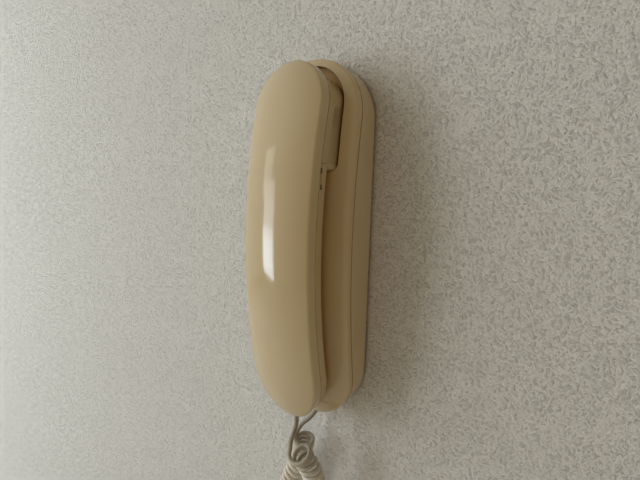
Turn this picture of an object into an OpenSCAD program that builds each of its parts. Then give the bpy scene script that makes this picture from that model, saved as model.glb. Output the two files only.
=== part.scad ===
// Slim wall telephone: a banana-shaped handset hangs by its receiver block in the ear
// well of a long wall base, and a curly cord joins the two at their lower ends.
// Bench frame of every module: x across, y up the phone, z out of the wall.
// to_wall() turns it to the row frame: +Z up, the wall at Y 0, the front towards -Y.

/* [Handset] */
// Length of the handset
handset_l = 217.8; // [210:0.2:224]
// Width of the handset at its seam
handset_w = 50; // [49.4:0.2:50.4]
// Reach of the handset's rounded upper end
handset_top = 26; // [25:0.5:28]
// Reach of the handset's rounded lower end
handset_low = 32; // [26:0.5:34]
// Radius of the long arc that the handset follows
handset_arc = 370; // [360:5:420]
// Height of the handset's seam above the wall, at mid length
handset_seam = 47; // [46:0.2:50]
// Wall of the handset's shells
shell_wall = 2; // [1.6:0.1:2.4]
// Gap that shows as the seam line
seam_gap = 0.24; // [0.1:0.02:0.4]
// Straight side of the outer shell
outer_side = 4.6; // [3.5:0.1:6]
// Rounded edge of the outer shell, across
outer_edge_w = 5; // [3:0.1:6]
// Rounded edge of the outer shell, in height
outer_edge_h = 3.6; // [2.5:0.1:4.5]
// Rise of the outer shell's crown
outer_crown = 2.2; // [1:0.1:3]
// Straight side of the inner shell
inner_side = 5.4; // [4.5:0.1:5.6]
// Rounded edge of the inner shell, across
inner_edge_w = 2.6; // [1.5:0.1:3]
// Rounded edge of the inner shell, in height
inner_edge_h = 2.4; // [1.5:0.1:2.5]
// Rise of the inner shell's crown towards the wall
inner_crown = 1.4; // [0.6:0.1:1.5]
// Draft of the handset's sides
side_draft = 0.5; // [0.2:0.1:0.8]

/* [Receiver block] */
// Width of the receiver block at its root
block_w = 49.8; // [49:0.1:49.8]
// Height of the block's lower end, which hangs on the ear well's sill
block_low = 47.7; // [45:0.1:50]
// Height of the block's upper end
block_top = 103.4; // [101:0.1:104]
// Height of the block's flat back above the wall
block_back = 15; // [14.6:0.1:17]
// Draft of the block's sides
block_draft = 2; // [1.8:0.1:2.6]
// Rounding of the block's back edge
block_edge = 2; // [1:0.1:2.5]
// Radius of the receiver capsule
receiver_r = 16; // [14:0.5:16.5]
// Thickness of the receiver capsule
receiver_t = 9; // [6:0.5:10]
// Height of the receiver's centre up the handset
receiver_y = 78; // [76:0.5:80]

/* [Base] */
// Length of the base at its seam
base_l = 227; // [222:1:232]
// Width of the base at its seam
base_w = 70; // [69:0.5:73]
// Radius of the long arc of the base's seam
base_arc = 518; // [490:5:560]
// Height of the base's seam above the wall, at mid length
base_seam = 25.2; // [24.8:0.1:26]
// Wall of the base's covers
base_wall = 2.2; // [1.8:0.1:2.6]
// Draft of the rear cover from the wall to its seam
rear_draft = 1.6; // [0.8:0.1:2]
// Straight side of the front cover
front_side = 1.6; // [1:0.1:2]
// Rounded edge of the front cover, across
front_edge_w = 2.6; // [1.5:0.1:3.5]
// Rounded edge of the front cover, in height
front_edge_h = 1.6; // [1:0.1:2]
// Rise of the front cover's crown
front_crown = 3.2; // [2:0.1:3.6]
// Draft of the front cover's side
front_draft = 0.2; // [0.1:0.05:0.4]
// Width of the ear well
well_w = 50.4; // [50:0.1:51]
// Height of the ear well's upper end
well_top = 108; // [107:0.1:109]
// Height of the ear well's floor above the wall
well_floor = 12; // [11:0.1:12.4]
// Corner radius of the well's sill
well_corner = 5; // [4:0.5:7]

/* [Hook switch] */
// Height of the plunger up the base
plunger_y = 58; // [57:0.5:62]
// Radius of the plunger
plunger_r = 3.7; // [3:0.1:4]
// Travel of the plunger
plunger_travel = 4; // [3:0.1:4]
// Height of the lever's pin up the base
lever_y = 32; // [31:0.5:33]
// Radius of the lever's pin
pin_r = 1; // [0.8:0.05:1.2]

/* [Keys] */
// Width of a key cap
key_w = 9.4; // [8:0.1:10]
// Height of a key cap
key_h = 7; // [6:0.1:8]
// Spacing of the keys across
key_pitch_x = 12.4; // [12.4:0.1:13]
// Spacing of the keys up the handset
key_pitch_y = 10.4; // [10.4:0.1:11]
// Height of the keypad's centre up the handset
keypad_y = -12; // [-14:0.5:-10]
// Travel of a key
key_travel = 1.2; // [0.8:0.1:1.4]
// How far a key cap stands out of the handset
key_proud = 1.6; // [1:0.1:2]

/* [Slide switch] */
// Height of the slide switch up the handset
slide_y = 43.6; // [42:0.1:44]
// Length of its slot
slide_slot = 12; // [11:0.1:13]
// Width of its slot
slide_slot_w = 1.8; // [1.6:0.1:2]
// Length of its knob
slide_knob = 6; // [5:0.1:6.5]

/* [Wall fixing] */
// Height of the wall screws' centre, below zero
fix_y = -29.75; // [-31:0.25:-29]
// Spacing of the two wall screws
fix_pitch = 83.5; // [83.5:0.5:85]
// Radius of a wall screw's hole
fix_r = 2.25; // [2:0.05:2.6]

/* [Curly cord] */
// Diameter of the cord
cord_d = 3; // [2.6:0.1:3]
// Outer diameter of the coil
coil_d = 14.8; // [14:0.1:15]
// Number of curls
curls = 60.5; // [56.5:1:60.5]

/* [Hidden] */
KEYS = ["key_1", "key_2", "key_3", "key_4", "key_5", "key_6", "key_7", "key_8", "key_9",
        "key_star", "key_0", "key_hash"];
$fn = 48;

// Colours
CREAM = "#c9b48c";
DARK = "#3a3733";
STEEL = "#b9bcc0";
GREEN = "#3f6b4a";
GREY = "#8a8a86";

// Clearances
gap = 0.3;        // between pieces that only rest or pass
fit_gap = 0.2;    // round a piece in its hole
run_gap = 0.05;   // round the hook pin
far = 200;        // longer than any piece

// Steps round each quarter end, along each side, round an edge and over a crown
end_steps = 9;
side_steps = 10;
edge_steps = 4;
crown_steps = 4;
// Half width of the flat strip that closes a crown
crown_flat = 4;

// ---- Curved surfaces ----
// Drop of an arc of radius r at height y from its middle
function sag(r, y) = r - sqrt(r * r - y * y);
// Height of a surface at y; a level is [height at y 0, arc radius or 0 for flat]
function level_z(level, y) = level[1] == 0 ? level[0] : level[0] - sag(level[1], y);
// Right side of an outline with elliptical ends, from its lower to its upper tip
function side_points(w, l, low, top) = concat(
    [for (i = [0 : end_steps - 1]) let (a = 90 * i / end_steps - 90) [w * cos(a), low * (1 + sin(a)) - l]],
    [for (i = [0 : side_steps]) [w, low - l + (2 * l - low - top) * i / side_steps]],
    [for (i = [1 : end_steps]) let (a = 90 * i / end_steps) [w * cos(a), l - top * (1 - sin(a))]]);
// The closed outline of a shape, inset on every side. A shape is
// [half width, half length, reach of its lower end, reach of its upper end].
function outline(shape, inset) =
    let (s = side_points(shape[0] - inset, shape[1] - inset, shape[2] - inset, shape[3] - inset))
    concat(s, [for (i = [len(s) - 2 : -1 : 1]) [-s[i].x, s[i].y]]);
// One ring of a loft; a step is [inset, rise, level]
function ring(shape, step) =
    [for (p = outline(shape, step[0])) [p.x, p.y, level_z(step[2], p.y) + step[1]]];
// Insets and rises of a drafted side, a rounded edge and a crown, [inset, rise] each.
// The edge's arc stops where it is as steep as the crown's start, so no crease shows.
function profile(half_w, side, draft, edge_w, edge_h, crown) =
    let (sweep = atan(edge_h * (half_w - draft - edge_w - crown_flat) / (2 * edge_w * crown)),
         root = draft + edge_w * (1 - cos(sweep)), shoulder = side + edge_h * sin(sweep),
         top = side + edge_h + crown)
    concat([[0, 0], [draft, side]],
           [for (k = [1 : edge_steps]) let (a = sweep * k / edge_steps)
               [draft + edge_w * (1 - cos(a)), side + edge_h * sin(a)]],
           [for (k = [1 : crown_steps]) let (t = k / crown_steps)
               [root + (half_w - root - crown_flat) * t,
                shoulder + (top - shoulder) * (1 - (1 - t) * (1 - t))]]);
// Triangles between rings of n points, and the strips that close the first and last ring
function wall_faces(n, rings) = [for (j = [0 : rings - 2], i = [0 : n - 1])
    let (a = j * n + i, b = j * n + (i + 1) % n) each [[a, b + n, b], [a, a + n, b + n]]];
function cap_faces(n, at, up) = [for (i = [0 : n / 2 - 1])
    let (r0 = at + i, r1 = at + i + 1, l0 = at + (n - i) % n, l1 = at + n - i - 1)
    each concat(i < n / 2 - 1 ? [up ? [r0, l1, r1] : [r0, r1, l1]] : [],
                i > 0 ? [up ? [r0, l0, l1] : [r0, l1, l0]] : [])];
// A closed solid through the rings of a shape, from the wall side outwards
module loft(shape, steps) {
    n = 2 * (2 * end_steps + side_steps);
    polyhedron(points = [for (s = steps) each ring(shape, s)],
               faces = concat(wall_faces(n, len(steps)), cap_faces(n, 0, false),
                              cap_faces(n, (len(steps) - 1) * n, true)));
}
module to_wall() rotate([90, 0, 0]) children();
// A rectangle with round corners, centred on x and y
module round_rect(w, h, r) {
    square([w - 2 * r, h], center = true);
    square([w, h - 2 * r], center = true);
    for (x = [-1, 1], y = [-1, 1])
        translate([x * (w / 2 - r), y * (h / 2 - r)]) circle(r);
}
// An upright box from z0 to z1, centred on x and y
module block(w, h, z0, z1) translate([-w / 2, -h / 2, z0]) cube([w, h, z1 - z0]);
// An upright cylinder from z0 to z1
module post(r, z0, z1) translate([0, 0, z0]) cylinder(r = r, h = z1 - z0);
// Moves a piece made at the origin to height y on the handset's seam, square to its arc
module on_arc(y) translate([0, y, handset_z(y)]) rotate([asin(-y / handset_arc), 0, 0]) children();
// A cylinder along y from y0 to y1
module rod(r, y0, y1) translate([0, y1, 0]) rotate([90, 0, 0]) cylinder(r = r, h = y1 - y0);

// ---- Derived sizes of the handset ----
handset_shape = [handset_w / 2, handset_l / 2, handset_low, handset_top];
handset_level = [handset_seam, handset_arc];
outer_profile = profile(handset_w / 2, outer_side, side_draft, outer_edge_w, outer_edge_h, outer_crown);
inner_profile = profile(handset_w / 2, inner_side, side_draft, inner_edge_w, inner_edge_h, inner_crown);
inner_depth = inner_side + inner_edge_h + inner_crown;
outer_depth = outer_side + outer_edge_h + outer_crown;
function handset_z(y) = level_z(handset_level, y);
// Height of the middle of the inner face, and of the crown's inside
function inner_face_z(y) = handset_z(y) - inner_depth;
function crown_in_z(y) = handset_z(y) + outer_depth - shell_wall;
seam_over = 1;    // how far a cavity runs past its seam

// Stack behind the keys, from the board down to the seat of the key flanges
board_t = 1.6;
board_z = handset_seam - board_t;
mat_t = 1;
dome_h = 0.9;
dome_r = 3;
flange_t = 1;
flange_lip = 0.7;
key_seat = board_z - mat_t - dome_h - gap - key_travel - flange_t - fit_gap;
key_corner = 1.6;
keypad_rows = 4;
keypad_cols = 3;
// Keys count from the left as the user sees them, which is from the wall side
function key_x(i) = ((keypad_cols - 1) / 2 - i % keypad_cols) * key_pitch_x;
function key_y(i) = keypad_y + ((keypad_rows - 1) / 2 - floor(i / keypad_cols)) * key_pitch_y;
function key_face(i) = inner_face_z(key_y(i)) - key_proud;
keypad_rim = 3;   // of the keypad's seat round the outer keys
mat_inset = 2;
keypad_w = (keypad_cols - 1) * key_pitch_x + key_w + 2 * keypad_rim;
keypad_h = (keypad_rows - 1) * key_pitch_y + key_h + 2 * keypad_rim;

board_w = 38;
board_below = 38;  // from the keypad's centre to the board's lower end
board_above = 8;   // from the slide switch to its upper end
board_low = keypad_y - board_below;
board_high = slide_y + board_above;

// Handset screws, from the inner face into bosses under the crown
upper_screw_y = 26;
lower_screw_up = 45;  // over the handset's lower end
handset_screw_y = [upper_screw_y, lower_screw_up - handset_l / 2];
screw_reach = 6;  // past the seam, into its boss
boss_r = 3.8;
screw_r = 1.2;
screw_hole_r = screw_r + fit_gap;
head_r = 2.5;
head_t = 1.6;
head_seat = 2.4;  // depth of the head's seat below the face

// Microphone
mic_up = 23;  // over the handset's lower end
mic_y = mic_up - handset_l / 2;
mic_r = 4.85;
mic_t = 4.6;
boot_r = 6.6;
boot_t = 5.6;
boot_base = 1;
mic_hole_pitch = 3;
mic_seat = shell_wall + 0.4 - inner_depth;  // height of its seat over the seam

// Receiver
receiver_gasket_t = 1;
receiver_z = block_back + shell_wall;
receiver_wall = 1.6;
grille_ring = 5;  // spacing of the rings of sound holes
grille_r = 0.9;

// Slide switch
slide_z = handset_z(slide_y) - slide_slot_w / 2 - 0.5;
slide_face = handset_w / 2 + 0.4;
slide_body_l = 10;
slide_body_x = [17.2, handset_w / 2 - shell_wall - side_draft - 1.6];
mark_y = slide_y + 8.5;

// Balance weight
weight_w = 24;
weight_l = 50;
weight_t = 2.5;
weight_y = -14;
weight_post_r = 2.5;
weight_room = 1.2;  // room under the crown beside its ends
weight_z = crown_in_z(weight_l / 2 - weight_y) - weight_t - weight_room;

// Cord bushes
bush_r = 3.2;
bush_flange_r = 4.1;
bush_flange_t = 1.4;
bush_l = 7;
bush_proud = 0.4;
bush_seat = bush_proud + base_wall + rear_draft - 0.1;  // where its flange sits behind the wall
handset_bush_y = -handset_l / 2 - bush_proud;
handset_bush_z = handset_z(handset_l / 2);

// ---- Derived sizes of the base ----
base_shape = [base_w / 2, base_l / 2, base_w / 2, base_w / 2];
base_level = [base_seam, base_arc];
front_profile = profile(base_w / 2, front_side, front_draft, front_edge_w, front_edge_h, front_crown);
front_depth = front_side + front_edge_h + front_crown;
function base_z(y) = level_z(base_level, y);
function base_face_z(y) = base_z(y) + front_depth;
back_t = base_wall;
foot_inset = rear_draft + 0.3;
foot_t = 0.8;
block_shape = [block_w / 2, block_top + block_draft, block_w / 2, block_w / 2];
well_low = block_low - gap;
well_h = well_top - well_low;

// Cover screws and their bosses, [x, y] each
low_screw_up = 13.5;  // over the base's lower end
side_screw_in = 8.5;  // from the base's side
side_screw_y = 35;
cover_screws = [[0, low_screw_up - base_l / 2], [side_screw_in - base_w / 2, side_screw_y],
                [base_w / 2 - side_screw_in, side_screw_y]];
cover_boss_r = 3.6;
cover_join = 8;   // height where the covers' bosses meet
cover_pilot = 5;  // depth of a screw in its front boss

// Hook switch
flange_r = plunger_r + 1.5;
flange_h = 1;
plunger_base = well_floor - base_wall - fit_gap - plunger_travel - flange_h;
plunger_tip = block_back - gap;
lever_t = 1.4;
lever_w = 6;
lever_top = plunger_base - gap;
hub_r = pin_r + 1.4;
hub_w = 8;
lever_z = lever_top + 1.1;
lever_reach = plunger_y + 1.5 - lever_y;
ear_t = 2;
ear_x = hub_w / 2 + 1.8;
spring_r = pin_r + 0.9;
tail_reach = 7.5;
tail_rise = 1.7;
button_r = 1;
hook_switch_w = 6.4;
hook_switch_l = 8;
lever_swing = atan(plunger_travel / (plunger_y - lever_y));
button_top = lever_z + tail_rise * cos(lever_swing) - tail_reach * sin(lever_swing) - gap;
button_h = 0.6;

// Base board, terminals, sounder
base_board_w = 48;
base_board_h = 36;
base_board_y = -44;
base_board_z = back_t + 3;
board_post = [20, 14];
board_post_r = 3;
terminal_w = 20;
terminal_h = 11;
terminal_t = 9;
terminal_y = -50;
terminal_pitch = 10;
window_w = 20;
window_h = 14;
window_y = -13;
speaker_r = 17;
speaker_t = 8;
speaker_up = 38.5;  // over the base's lower end
speaker_rim = 4;
speaker_y = speaker_up - base_l / 2;
speaker_face = base_face_z(speaker_y - speaker_r) - base_wall - 1.2;
slot_w = 1.6;
slot_l = 16;
slot_pitch = 4;
pad_r = 4;
pad_x = 9;
pad_up = 17;      // over the handset's lower end
pad_y = pad_up - handset_l / 2;
pad_tilt = asin(-pad_y / handset_arc);
pad_pocket = 0.8;
pad_seat = base_face_z(pad_y) - pad_pocket;
pad_h = (inner_face_z(pad_y) - pad_seat) * cos(pad_tilt) - gap;
bush_cover = 0.7;  // of the rear cover's wall over its hole
base_bush_z = base_z(base_l / 2) - bush_r - fit_gap - bush_cover;
base_bush_y = rear_draft - 1 - base_l / 2 - bush_proud;

// ---- Handset ----
// Solid of the outer shell, or of its cavity
module outer_solid(wall) loft(handset_shape, concat(
    [[wall, wall > 0 ? -seam_over : seam_gap / 2, handset_level]],
    [for (k = [1 : len(outer_profile) - 1])
        [outer_profile[k][0] + wall, outer_profile[k][1] - wall, handset_level]]));
// Solid of the inner shell's grip, or of its cavity
module inner_solid(wall) loft(handset_shape, concat(
    [for (k = [len(inner_profile) - 1 : -1 : 1])
        [inner_profile[k][0] + wall, wall - inner_profile[k][1], handset_level]],
    [[wall, wall > 0 ? seam_over : -seam_gap / 2, handset_level]]));
// Outline of the receiver block, open towards the upper end
module block_outline(wall) translate([0, block_low + wall + far / 2])
    round_rect(well_w - 2 * (gap + wall), far, well_corner - gap - wall);
// Solid of the receiver block, or of its cavity
module block_solid(wall) intersection() {
    loft(block_shape, [
        [block_draft + block_edge + wall, 0, [block_back + wall, 0]],
        [block_draft + block_edge * 0.3 + wall, 0, [block_back + block_edge * 0.3 + wall, 0]],
        [block_draft + wall, 0, [block_back + block_edge + wall, 0]],
        [wall + 0.05, wall > 0 ? seam_over : -seam_gap, handset_level]]);
    linear_extrude(height = far / 2) block_outline(wall);
}
module handset_outer_shell() color(CREAM) difference() {
    outer_solid(0);
    difference() {
        outer_solid(shell_wall);
        for (y = handset_screw_y)
            translate([0, y]) post(boss_r, handset_z(y), far / 2);
        for (y = [-1, 1])
            translate([0, weight_y + y * weight_l / 3]) post(weight_post_r, weight_z + weight_t, far / 2);
    }
    for (y = handset_screw_y)
        translate([0, y]) post(screw_hole_r, 0, crown_in_z(y) - 1);
    handset_bush_at(fit_gap);
}
module sound_holes() {
    post(grille_r, 0, far / 4);
    for (k = [1, 2], i = [0 : 6 * k - 1])
        rotate(i * 60 / k) translate([grille_ring * k, 0]) post(grille_r, 0, far / 4);
}
module handset_inner_shell() color(CREAM) difference() {
    union() {
        inner_solid(0);
        block_solid(0);
    }
    difference() {
        union() {
            inner_solid(shell_wall);
            block_solid(shell_wall);
        }
        // Flat seat for the keys, bosses, receiver ring and microphone seat
        translate([0, keypad_y]) block(keypad_w, keypad_h, 0, key_seat);
        for (y = handset_screw_y)
            translate([0, y]) post(boss_r, 0, handset_z(y) - gap);
        translate([0, receiver_y]) difference() {
            post(receiver_r + fit_gap + receiver_wall, 0, receiver_z + receiver_t * 0.7);
            post(receiver_r + fit_gap, receiver_z, far);
        }
        on_arc(mic_y) post(boot_r + 1, -far / 4, mic_seat);
    }
    for (i = [0 : len(KEYS) - 1])
        translate([key_x(i), key_y(i)]) linear_extrude(height = far)
            round_rect(key_w + 2 * fit_gap, key_h + 2 * fit_gap, key_corner);
    for (y = handset_screw_y) translate([0, y]) {
        post(screw_hole_r, 0, far);
        post(head_r + fit_gap, 0, inner_face_z(y) + head_seat);
    }
    translate([0, receiver_y]) intersection() {
        sound_holes();
        post(far, 0, receiver_z + 0.5);
    }
    on_arc(mic_y) for (x = [-1, 0, 1])
        translate([x * mic_hole_pitch, 0]) post(grille_r, -far / 4, mic_seat + 1);
    // Slot of the slide switch, and the mark beside it
    translate([handset_w / 2, slide_y, slide_z])
        cube([2 * (shell_wall + side_draft), slide_slot, slide_slot_w], center = true);
    translate([handset_w / 2, mark_y, handset_z(mark_y) - inner_side / 2])
        cube([2 * (side_draft + 0.2), 0.45, inner_side], center = true);
    handset_bush_at(fit_gap);
}
module handset_screws() color(STEEL) for (y = handset_screw_y) translate([0, y]) {
    seat = inner_face_z(y) + head_seat - fit_gap;
    post(head_r, seat - head_t, seat);
    post(screw_r, seat - 0.1, handset_z(y) + screw_reach);
}
module handset_board() color(GREEN) difference() {
    translate([0, (board_low + board_high) / 2])
        block(board_w, board_high - board_low, board_z, board_z + board_t);
    translate([0, handset_screw_y[0]]) post(boss_r + 2 * fit_gap, 0, far);
}
module key_mat() color(DARK) translate([0, 0, board_z - mat_t]) {
    translate([0, keypad_y]) linear_extrude(height = mat_t)
        round_rect(keypad_w - 2 * mat_inset, keypad_h - 2 * mat_inset, mat_inset);
    for (i = [0 : len(KEYS) - 1]) translate([key_x(i), key_y(i)]) post(dome_r, -dome_h, mat_t / 2);
}
// One key: a cap that passes the shell and a flange that holds it in
module key(i) color("#e6dcc4") translate([key_x(i), key_y(i)]) {
    translate([0, 0, key_face(i)]) linear_extrude(height = key_seat + fit_gap + flange_t - key_face(i))
        round_rect(key_w, key_h, key_corner - fit_gap);
    translate([0, 0, key_seat + fit_gap]) linear_extrude(height = flange_t)
        round_rect(key_w + 2 * flange_lip, key_h + 2 * flange_lip, key_corner);
}
module receiver() color(GREY) translate([0, receiver_y]) {
    low = receiver_z + receiver_gasket_t;
    difference() {
        post(receiver_r, low, low + receiver_t);
        post(receiver_r - 4, low - 1, low + 0.8);
    }
    post(receiver_r * 0.45, low + receiver_t - 0.1, low + receiver_t + 1.5);
}
module receiver_gasket() color(DARK) translate([0, receiver_y]) difference() {
    post(receiver_r - 0.2, receiver_z, receiver_z + receiver_gasket_t);
    post(receiver_r - 3.4, receiver_z - 1, receiver_z + receiver_gasket_t + 1);
}
module microphone() color(STEEL) on_arc(mic_y)
    post(mic_r, mic_seat + boot_base, mic_seat + boot_base + mic_t);
module microphone_boot() color(DARK) on_arc(mic_y) difference() {
    post(boot_r, mic_seat, mic_seat + boot_t);
    post(mic_r, mic_seat + boot_base, mic_seat + boot_t + 1);
    post(mic_hole_pitch + grille_r, mic_seat - 1, mic_seat + boot_t);
}
module handset_weight() color(STEEL) translate([0, weight_y])
    block(weight_w, weight_l, weight_z, weight_z + weight_t);
module slide_switch() color(DARK) translate([0, slide_y]) {
    translate([slide_body_x[0], -slide_body_l / 2, slide_z - 2.1])
        cube([slide_body_x[1] - slide_body_x[0], slide_body_l, board_z - slide_z + 2.1]);
}
module slide_switch_knob() color("#a08d68") translate([0, slide_y, slide_z]) {
    x0 = slide_body_x[1] + fit_gap;
    difference() {
        translate([x0, -slide_knob / 2, 0.2 - slide_slot_w / 2])
            cube([slide_face - x0, slide_knob, slide_slot_w - 0.4]);
        for (y = [-1.6, 0, 1.6])
            translate([slide_face, y, 0]) cube([0.5, 0.6, slide_slot_w], center = true);
    }
    translate([x0, -slide_knob / 2 - 1, -1.4]) cube([0.8, slide_knob + 2, 2.8]);
}
// A rubber bush that grips the cord, its outer end at y 0, or with clearance the room for it
module cord_bush(clearance) {
    rod(bush_r + clearance, -clearance, bush_l + clearance);
    rod(bush_flange_r + clearance, bush_seat - clearance, bush_seat + bush_flange_t + clearance);
}
module handset_bush_at(clearance) translate([0, handset_bush_y, handset_bush_z]) cord_bush(clearance);
module base_bush_at(clearance) translate([0, base_bush_y, base_bush_z]) cord_bush(clearance);
module handset_cord_bush() color(DARK) handset_bush_at(0);

// ---- Base ----
module front_solid(wall) loft(base_shape, concat(
    [[wall, wall > 0 ? -seam_over : seam_gap / 2, base_level]],
    [for (k = [1 : len(front_profile) - 1])
        [front_profile[k][0] + wall, front_profile[k][1] - wall, base_level]]));
// Space behind the front cover's face, down to a flat level near the wall
module front_limit(z0) loft(base_shape, concat(
    [[base_wall + 0.6, 0, [z0, 0]]],
    [for (k = [1 : len(front_profile) - 1])
        [front_profile[k][0] + base_wall / 2, front_profile[k][1] - base_wall / 2, base_level]]));
// Outline of the ear well: a round upper end and a sill with small corners
module well_outline(wall) translate([0, well_low - wall]) {
    r = well_w / 2 + wall;
    height = well_h + 2 * wall;
    intersection() {
        translate([0, height / 2]) round_rect(2 * r, height, well_corner + wall);
        union() {
            translate([0, height - r]) circle(r);
            translate([-r, 0]) square([2 * r, height - r]);
        }
    }
}
module front_bosses() for (p = cover_screws)
    translate(p) post(cover_boss_r, cover_join, far / 2);
module base_front_cover() color(CREAM) difference() {
    union() {
        difference() {
            front_solid(0);
            front_solid(base_wall);
        }
        intersection() {
            front_limit(cover_join);
            union() {
                translate([0, 0, well_floor - base_wall])
                    linear_extrude(height = far / 2) well_outline(base_wall);
                front_bosses();
                translate([0, speaker_y]) difference() {
                    post(speaker_r + fit_gap + 1.6, speaker_face - speaker_rim, far / 2);
                    post(speaker_r + fit_gap, 0, far);
                }
            }
        }
    }
    translate([0, 0, well_floor]) linear_extrude(height = far / 2) well_outline(0);
    translate([0, plunger_y]) post(plunger_r + 2 * fit_gap, 0, far / 4);
    for (p = cover_screws) translate(p) post(screw_hole_r, 0, cover_join + cover_pilot + 1);
    at_pads() post(pad_r + fit_gap, 0, far / 4);
    translate([0, speaker_y]) for (k = [-2 : 2])
        translate([0, k * slot_pitch]) block(slot_l, slot_w, 0, far / 4);
}
module base_rear_cover() color(CREAM) difference() {
    union() {
        difference() {
            union() {
                linear_extrude(height = back_t) polygon(outline(base_shape, foot_inset));
                loft(base_shape, [[rear_draft, 0, [foot_t, 0]], [0, -seam_gap / 2, base_level]]);
            }
            loft(base_shape, [[rear_draft + base_wall, 0, [back_t, 0]],
                              [base_wall, seam_over, base_level]]);
        }
        for (p = cover_screws) translate(p) post(cover_boss_r, back_t / 2, cover_join - 0.1);
        for (x = [-1, 1], y = [-1, 1])
            translate([x * board_post[0], base_board_y + y * board_post[1]])
                post(board_post_r, back_t / 2, base_board_z);
        for (x = [-1, 1]) translate([x * ear_x, lever_y])
            block(ear_t, 2 * hub_r + 2, back_t / 2, lever_z + pin_r + 1.2);
        for (y = [-1, 1])
            translate([0, fix_y + y * fix_pitch / 2]) post(fix_r + 2.6, back_t / 2, back_t + 1);
    }
    for (p = cover_screws) translate(p) {
        post(screw_hole_r, -1, far);
        post(head_r + fit_gap, -1, head_seat + 1);
    }
    for (x = [-1, 1], y = [-1, 1])
        translate([x * board_post[0], base_board_y + y * board_post[1]])
            post(screw_r - 0.2, back_t, far);
    translate([0, lever_y, lever_z]) rotate([0, 90, 0])
        cylinder(r = pin_r, h = 2 * (ear_x + ear_t), center = true);
    for (y = [-1, 1]) translate([0, fix_y + y * fix_pitch / 2]) post(fix_r, -1, far);
    translate([0, window_y]) block(window_w, window_h, -1, back_t + 1);
    base_bush_at(fit_gap);
}
module base_screws() color(STEEL) for (p = cover_screws) translate(p) {
    post(head_r, head_seat + 1 - head_t - fit_gap, head_seat + 1 - fit_gap);
    post(screw_r, head_seat, cover_join + cover_pilot);
}
module hook_plunger() color(CREAM) translate([0, plunger_y]) {
    post(plunger_r, plunger_base, plunger_tip);
    post(flange_r, plunger_base, plunger_base + flange_h);
}
module hook_lever() color(DARK) translate([0, lever_y, lever_z]) difference() {
    union() {
        rotate([0, 90, 0]) cylinder(r = hub_r, h = hub_w, center = true);
        translate([-lever_w / 2, 0, lever_top - lever_t - lever_z]) cube([lever_w, lever_reach, lever_t]);
        translate([-lever_w / 2, -tail_reach, tail_rise]) cube([lever_w, tail_reach, lever_t]);
        translate([-lever_w / 2, -1.2, 0]) cube([lever_w, 2.4, tail_rise + lever_t]);
    }
    rotate([0, 90, 0]) cylinder(r = pin_r + run_gap, h = far, center = true);
}
module hook_pin() color(STEEL) translate([0, lever_y, lever_z])
    rotate([0, 90, 0]) cylinder(r = pin_r, h = 2 * ear_x + ear_t, center = true);
// A torsion spring on the pin, between the hub and one ear
module hook_spring() color(STEEL) {
    room = ear_x - ear_t / 2 - hub_w / 2;
    translate([hub_w / 2 + 0.1, lever_y, lever_z]) rotate([0, 90, 0]) difference() {
        cylinder(r = spring_r, h = room - 0.2);
        translate([0, 0, -1]) cylinder(r = pin_r + 0.3, h = room + 2);
    }
}
module hook_switch() color(DARK) translate([0, lever_y - tail_reach]) {
    block(hook_switch_w, hook_switch_l, back_t, button_top - button_h);
    post(button_r, back_t + 1, button_top);
}
module base_board() color(GREEN) translate([0, base_board_y]) difference() {
    block(base_board_w, base_board_h, base_board_z, base_board_z + board_t);
    for (x = [-1, 1], y = [-1, 1])
        translate([x * board_post[0], y * board_post[1]]) post(screw_hole_r, 0, far);
}
module base_board_screws() color(STEEL) translate([0, base_board_y, base_board_z])
    for (x = [-1, 1], y = [-1, 1]) translate([x * board_post[0], y * board_post[1]]) {
        post(head_r - 0.3, board_t, board_t + head_t);
        post(screw_r - 0.25, -2.4, board_t + 0.1);
    }
module line_terminals() color(GREY) translate([0, terminal_y]) difference() {
    block(terminal_w, terminal_h, base_board_z + board_t, base_board_z + board_t + terminal_t);
    for (x = [-1, 1]) translate([x * terminal_pitch / 2, 0]) {
        post(screw_hole_r, base_board_z + board_t + 3, far);
        post(head_r + fit_gap, base_board_z + board_t + terminal_t - 2, far);
        translate([-1.6, 0, base_board_z + board_t + 2]) cube([3.2, far, 3.2]);
    }
}
module terminal_screws() color(STEEL) translate([0, terminal_y]) for (x = [-1, 1])
    translate([x * terminal_pitch / 2, 0]) {
        top = base_board_z + board_t + terminal_t;
        post(head_r, top - 2, top - 0.2);
        post(screw_r, base_board_z + board_t + 3, top - 1);
    }
module ringer_speaker() color(DARK) translate([0, speaker_y]) difference() {
    union() {
        post(speaker_r, speaker_face - 3, speaker_face);
        post(speaker_r * 0.6, speaker_face - speaker_t, speaker_face - 2);
    }
    post(speaker_r - speaker_rim, speaker_face - 1, far);
}
// Two rubber pads in pockets of the front cover, under the handset's lower end
module at_pads() for (x = [-1, 1])
    translate([x * pad_x, pad_y, pad_seat]) rotate([pad_tilt, 0, 0]) children();
module rest_pads() color(DARK) at_pads() post(pad_r, 0, pad_h);
module base_cord_bush() color(DARK) base_bush_at(0);

// ---- Curly cord ----
// Axis of the coil, from the handset's leg round the hanging loop to the base's leg.
// The first and last points only steer the curve.
coil_route = [
    [9, -122, 54], [6.5, -133.5, 36], [11.5, -149.5, 28], [18, -167.5, 25], [24, -187, 23],
    [28, -207.5, 21.5], [29.5, -229, 20.5], [26, -250, 19.5], [11, -264.5, 18.5],
    [-11, -264.5, 17.5], [-26, -250, 16.5], [-29.5, -229, 15.5], [-28, -208, 14.5],
    [-22.5, -188.5, 14], [-15.5, -170.5, 13.5], [-9, -152.5, 13.5], [-4, -136, 17.5],
    [-3, -119.5, 27]];
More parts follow.
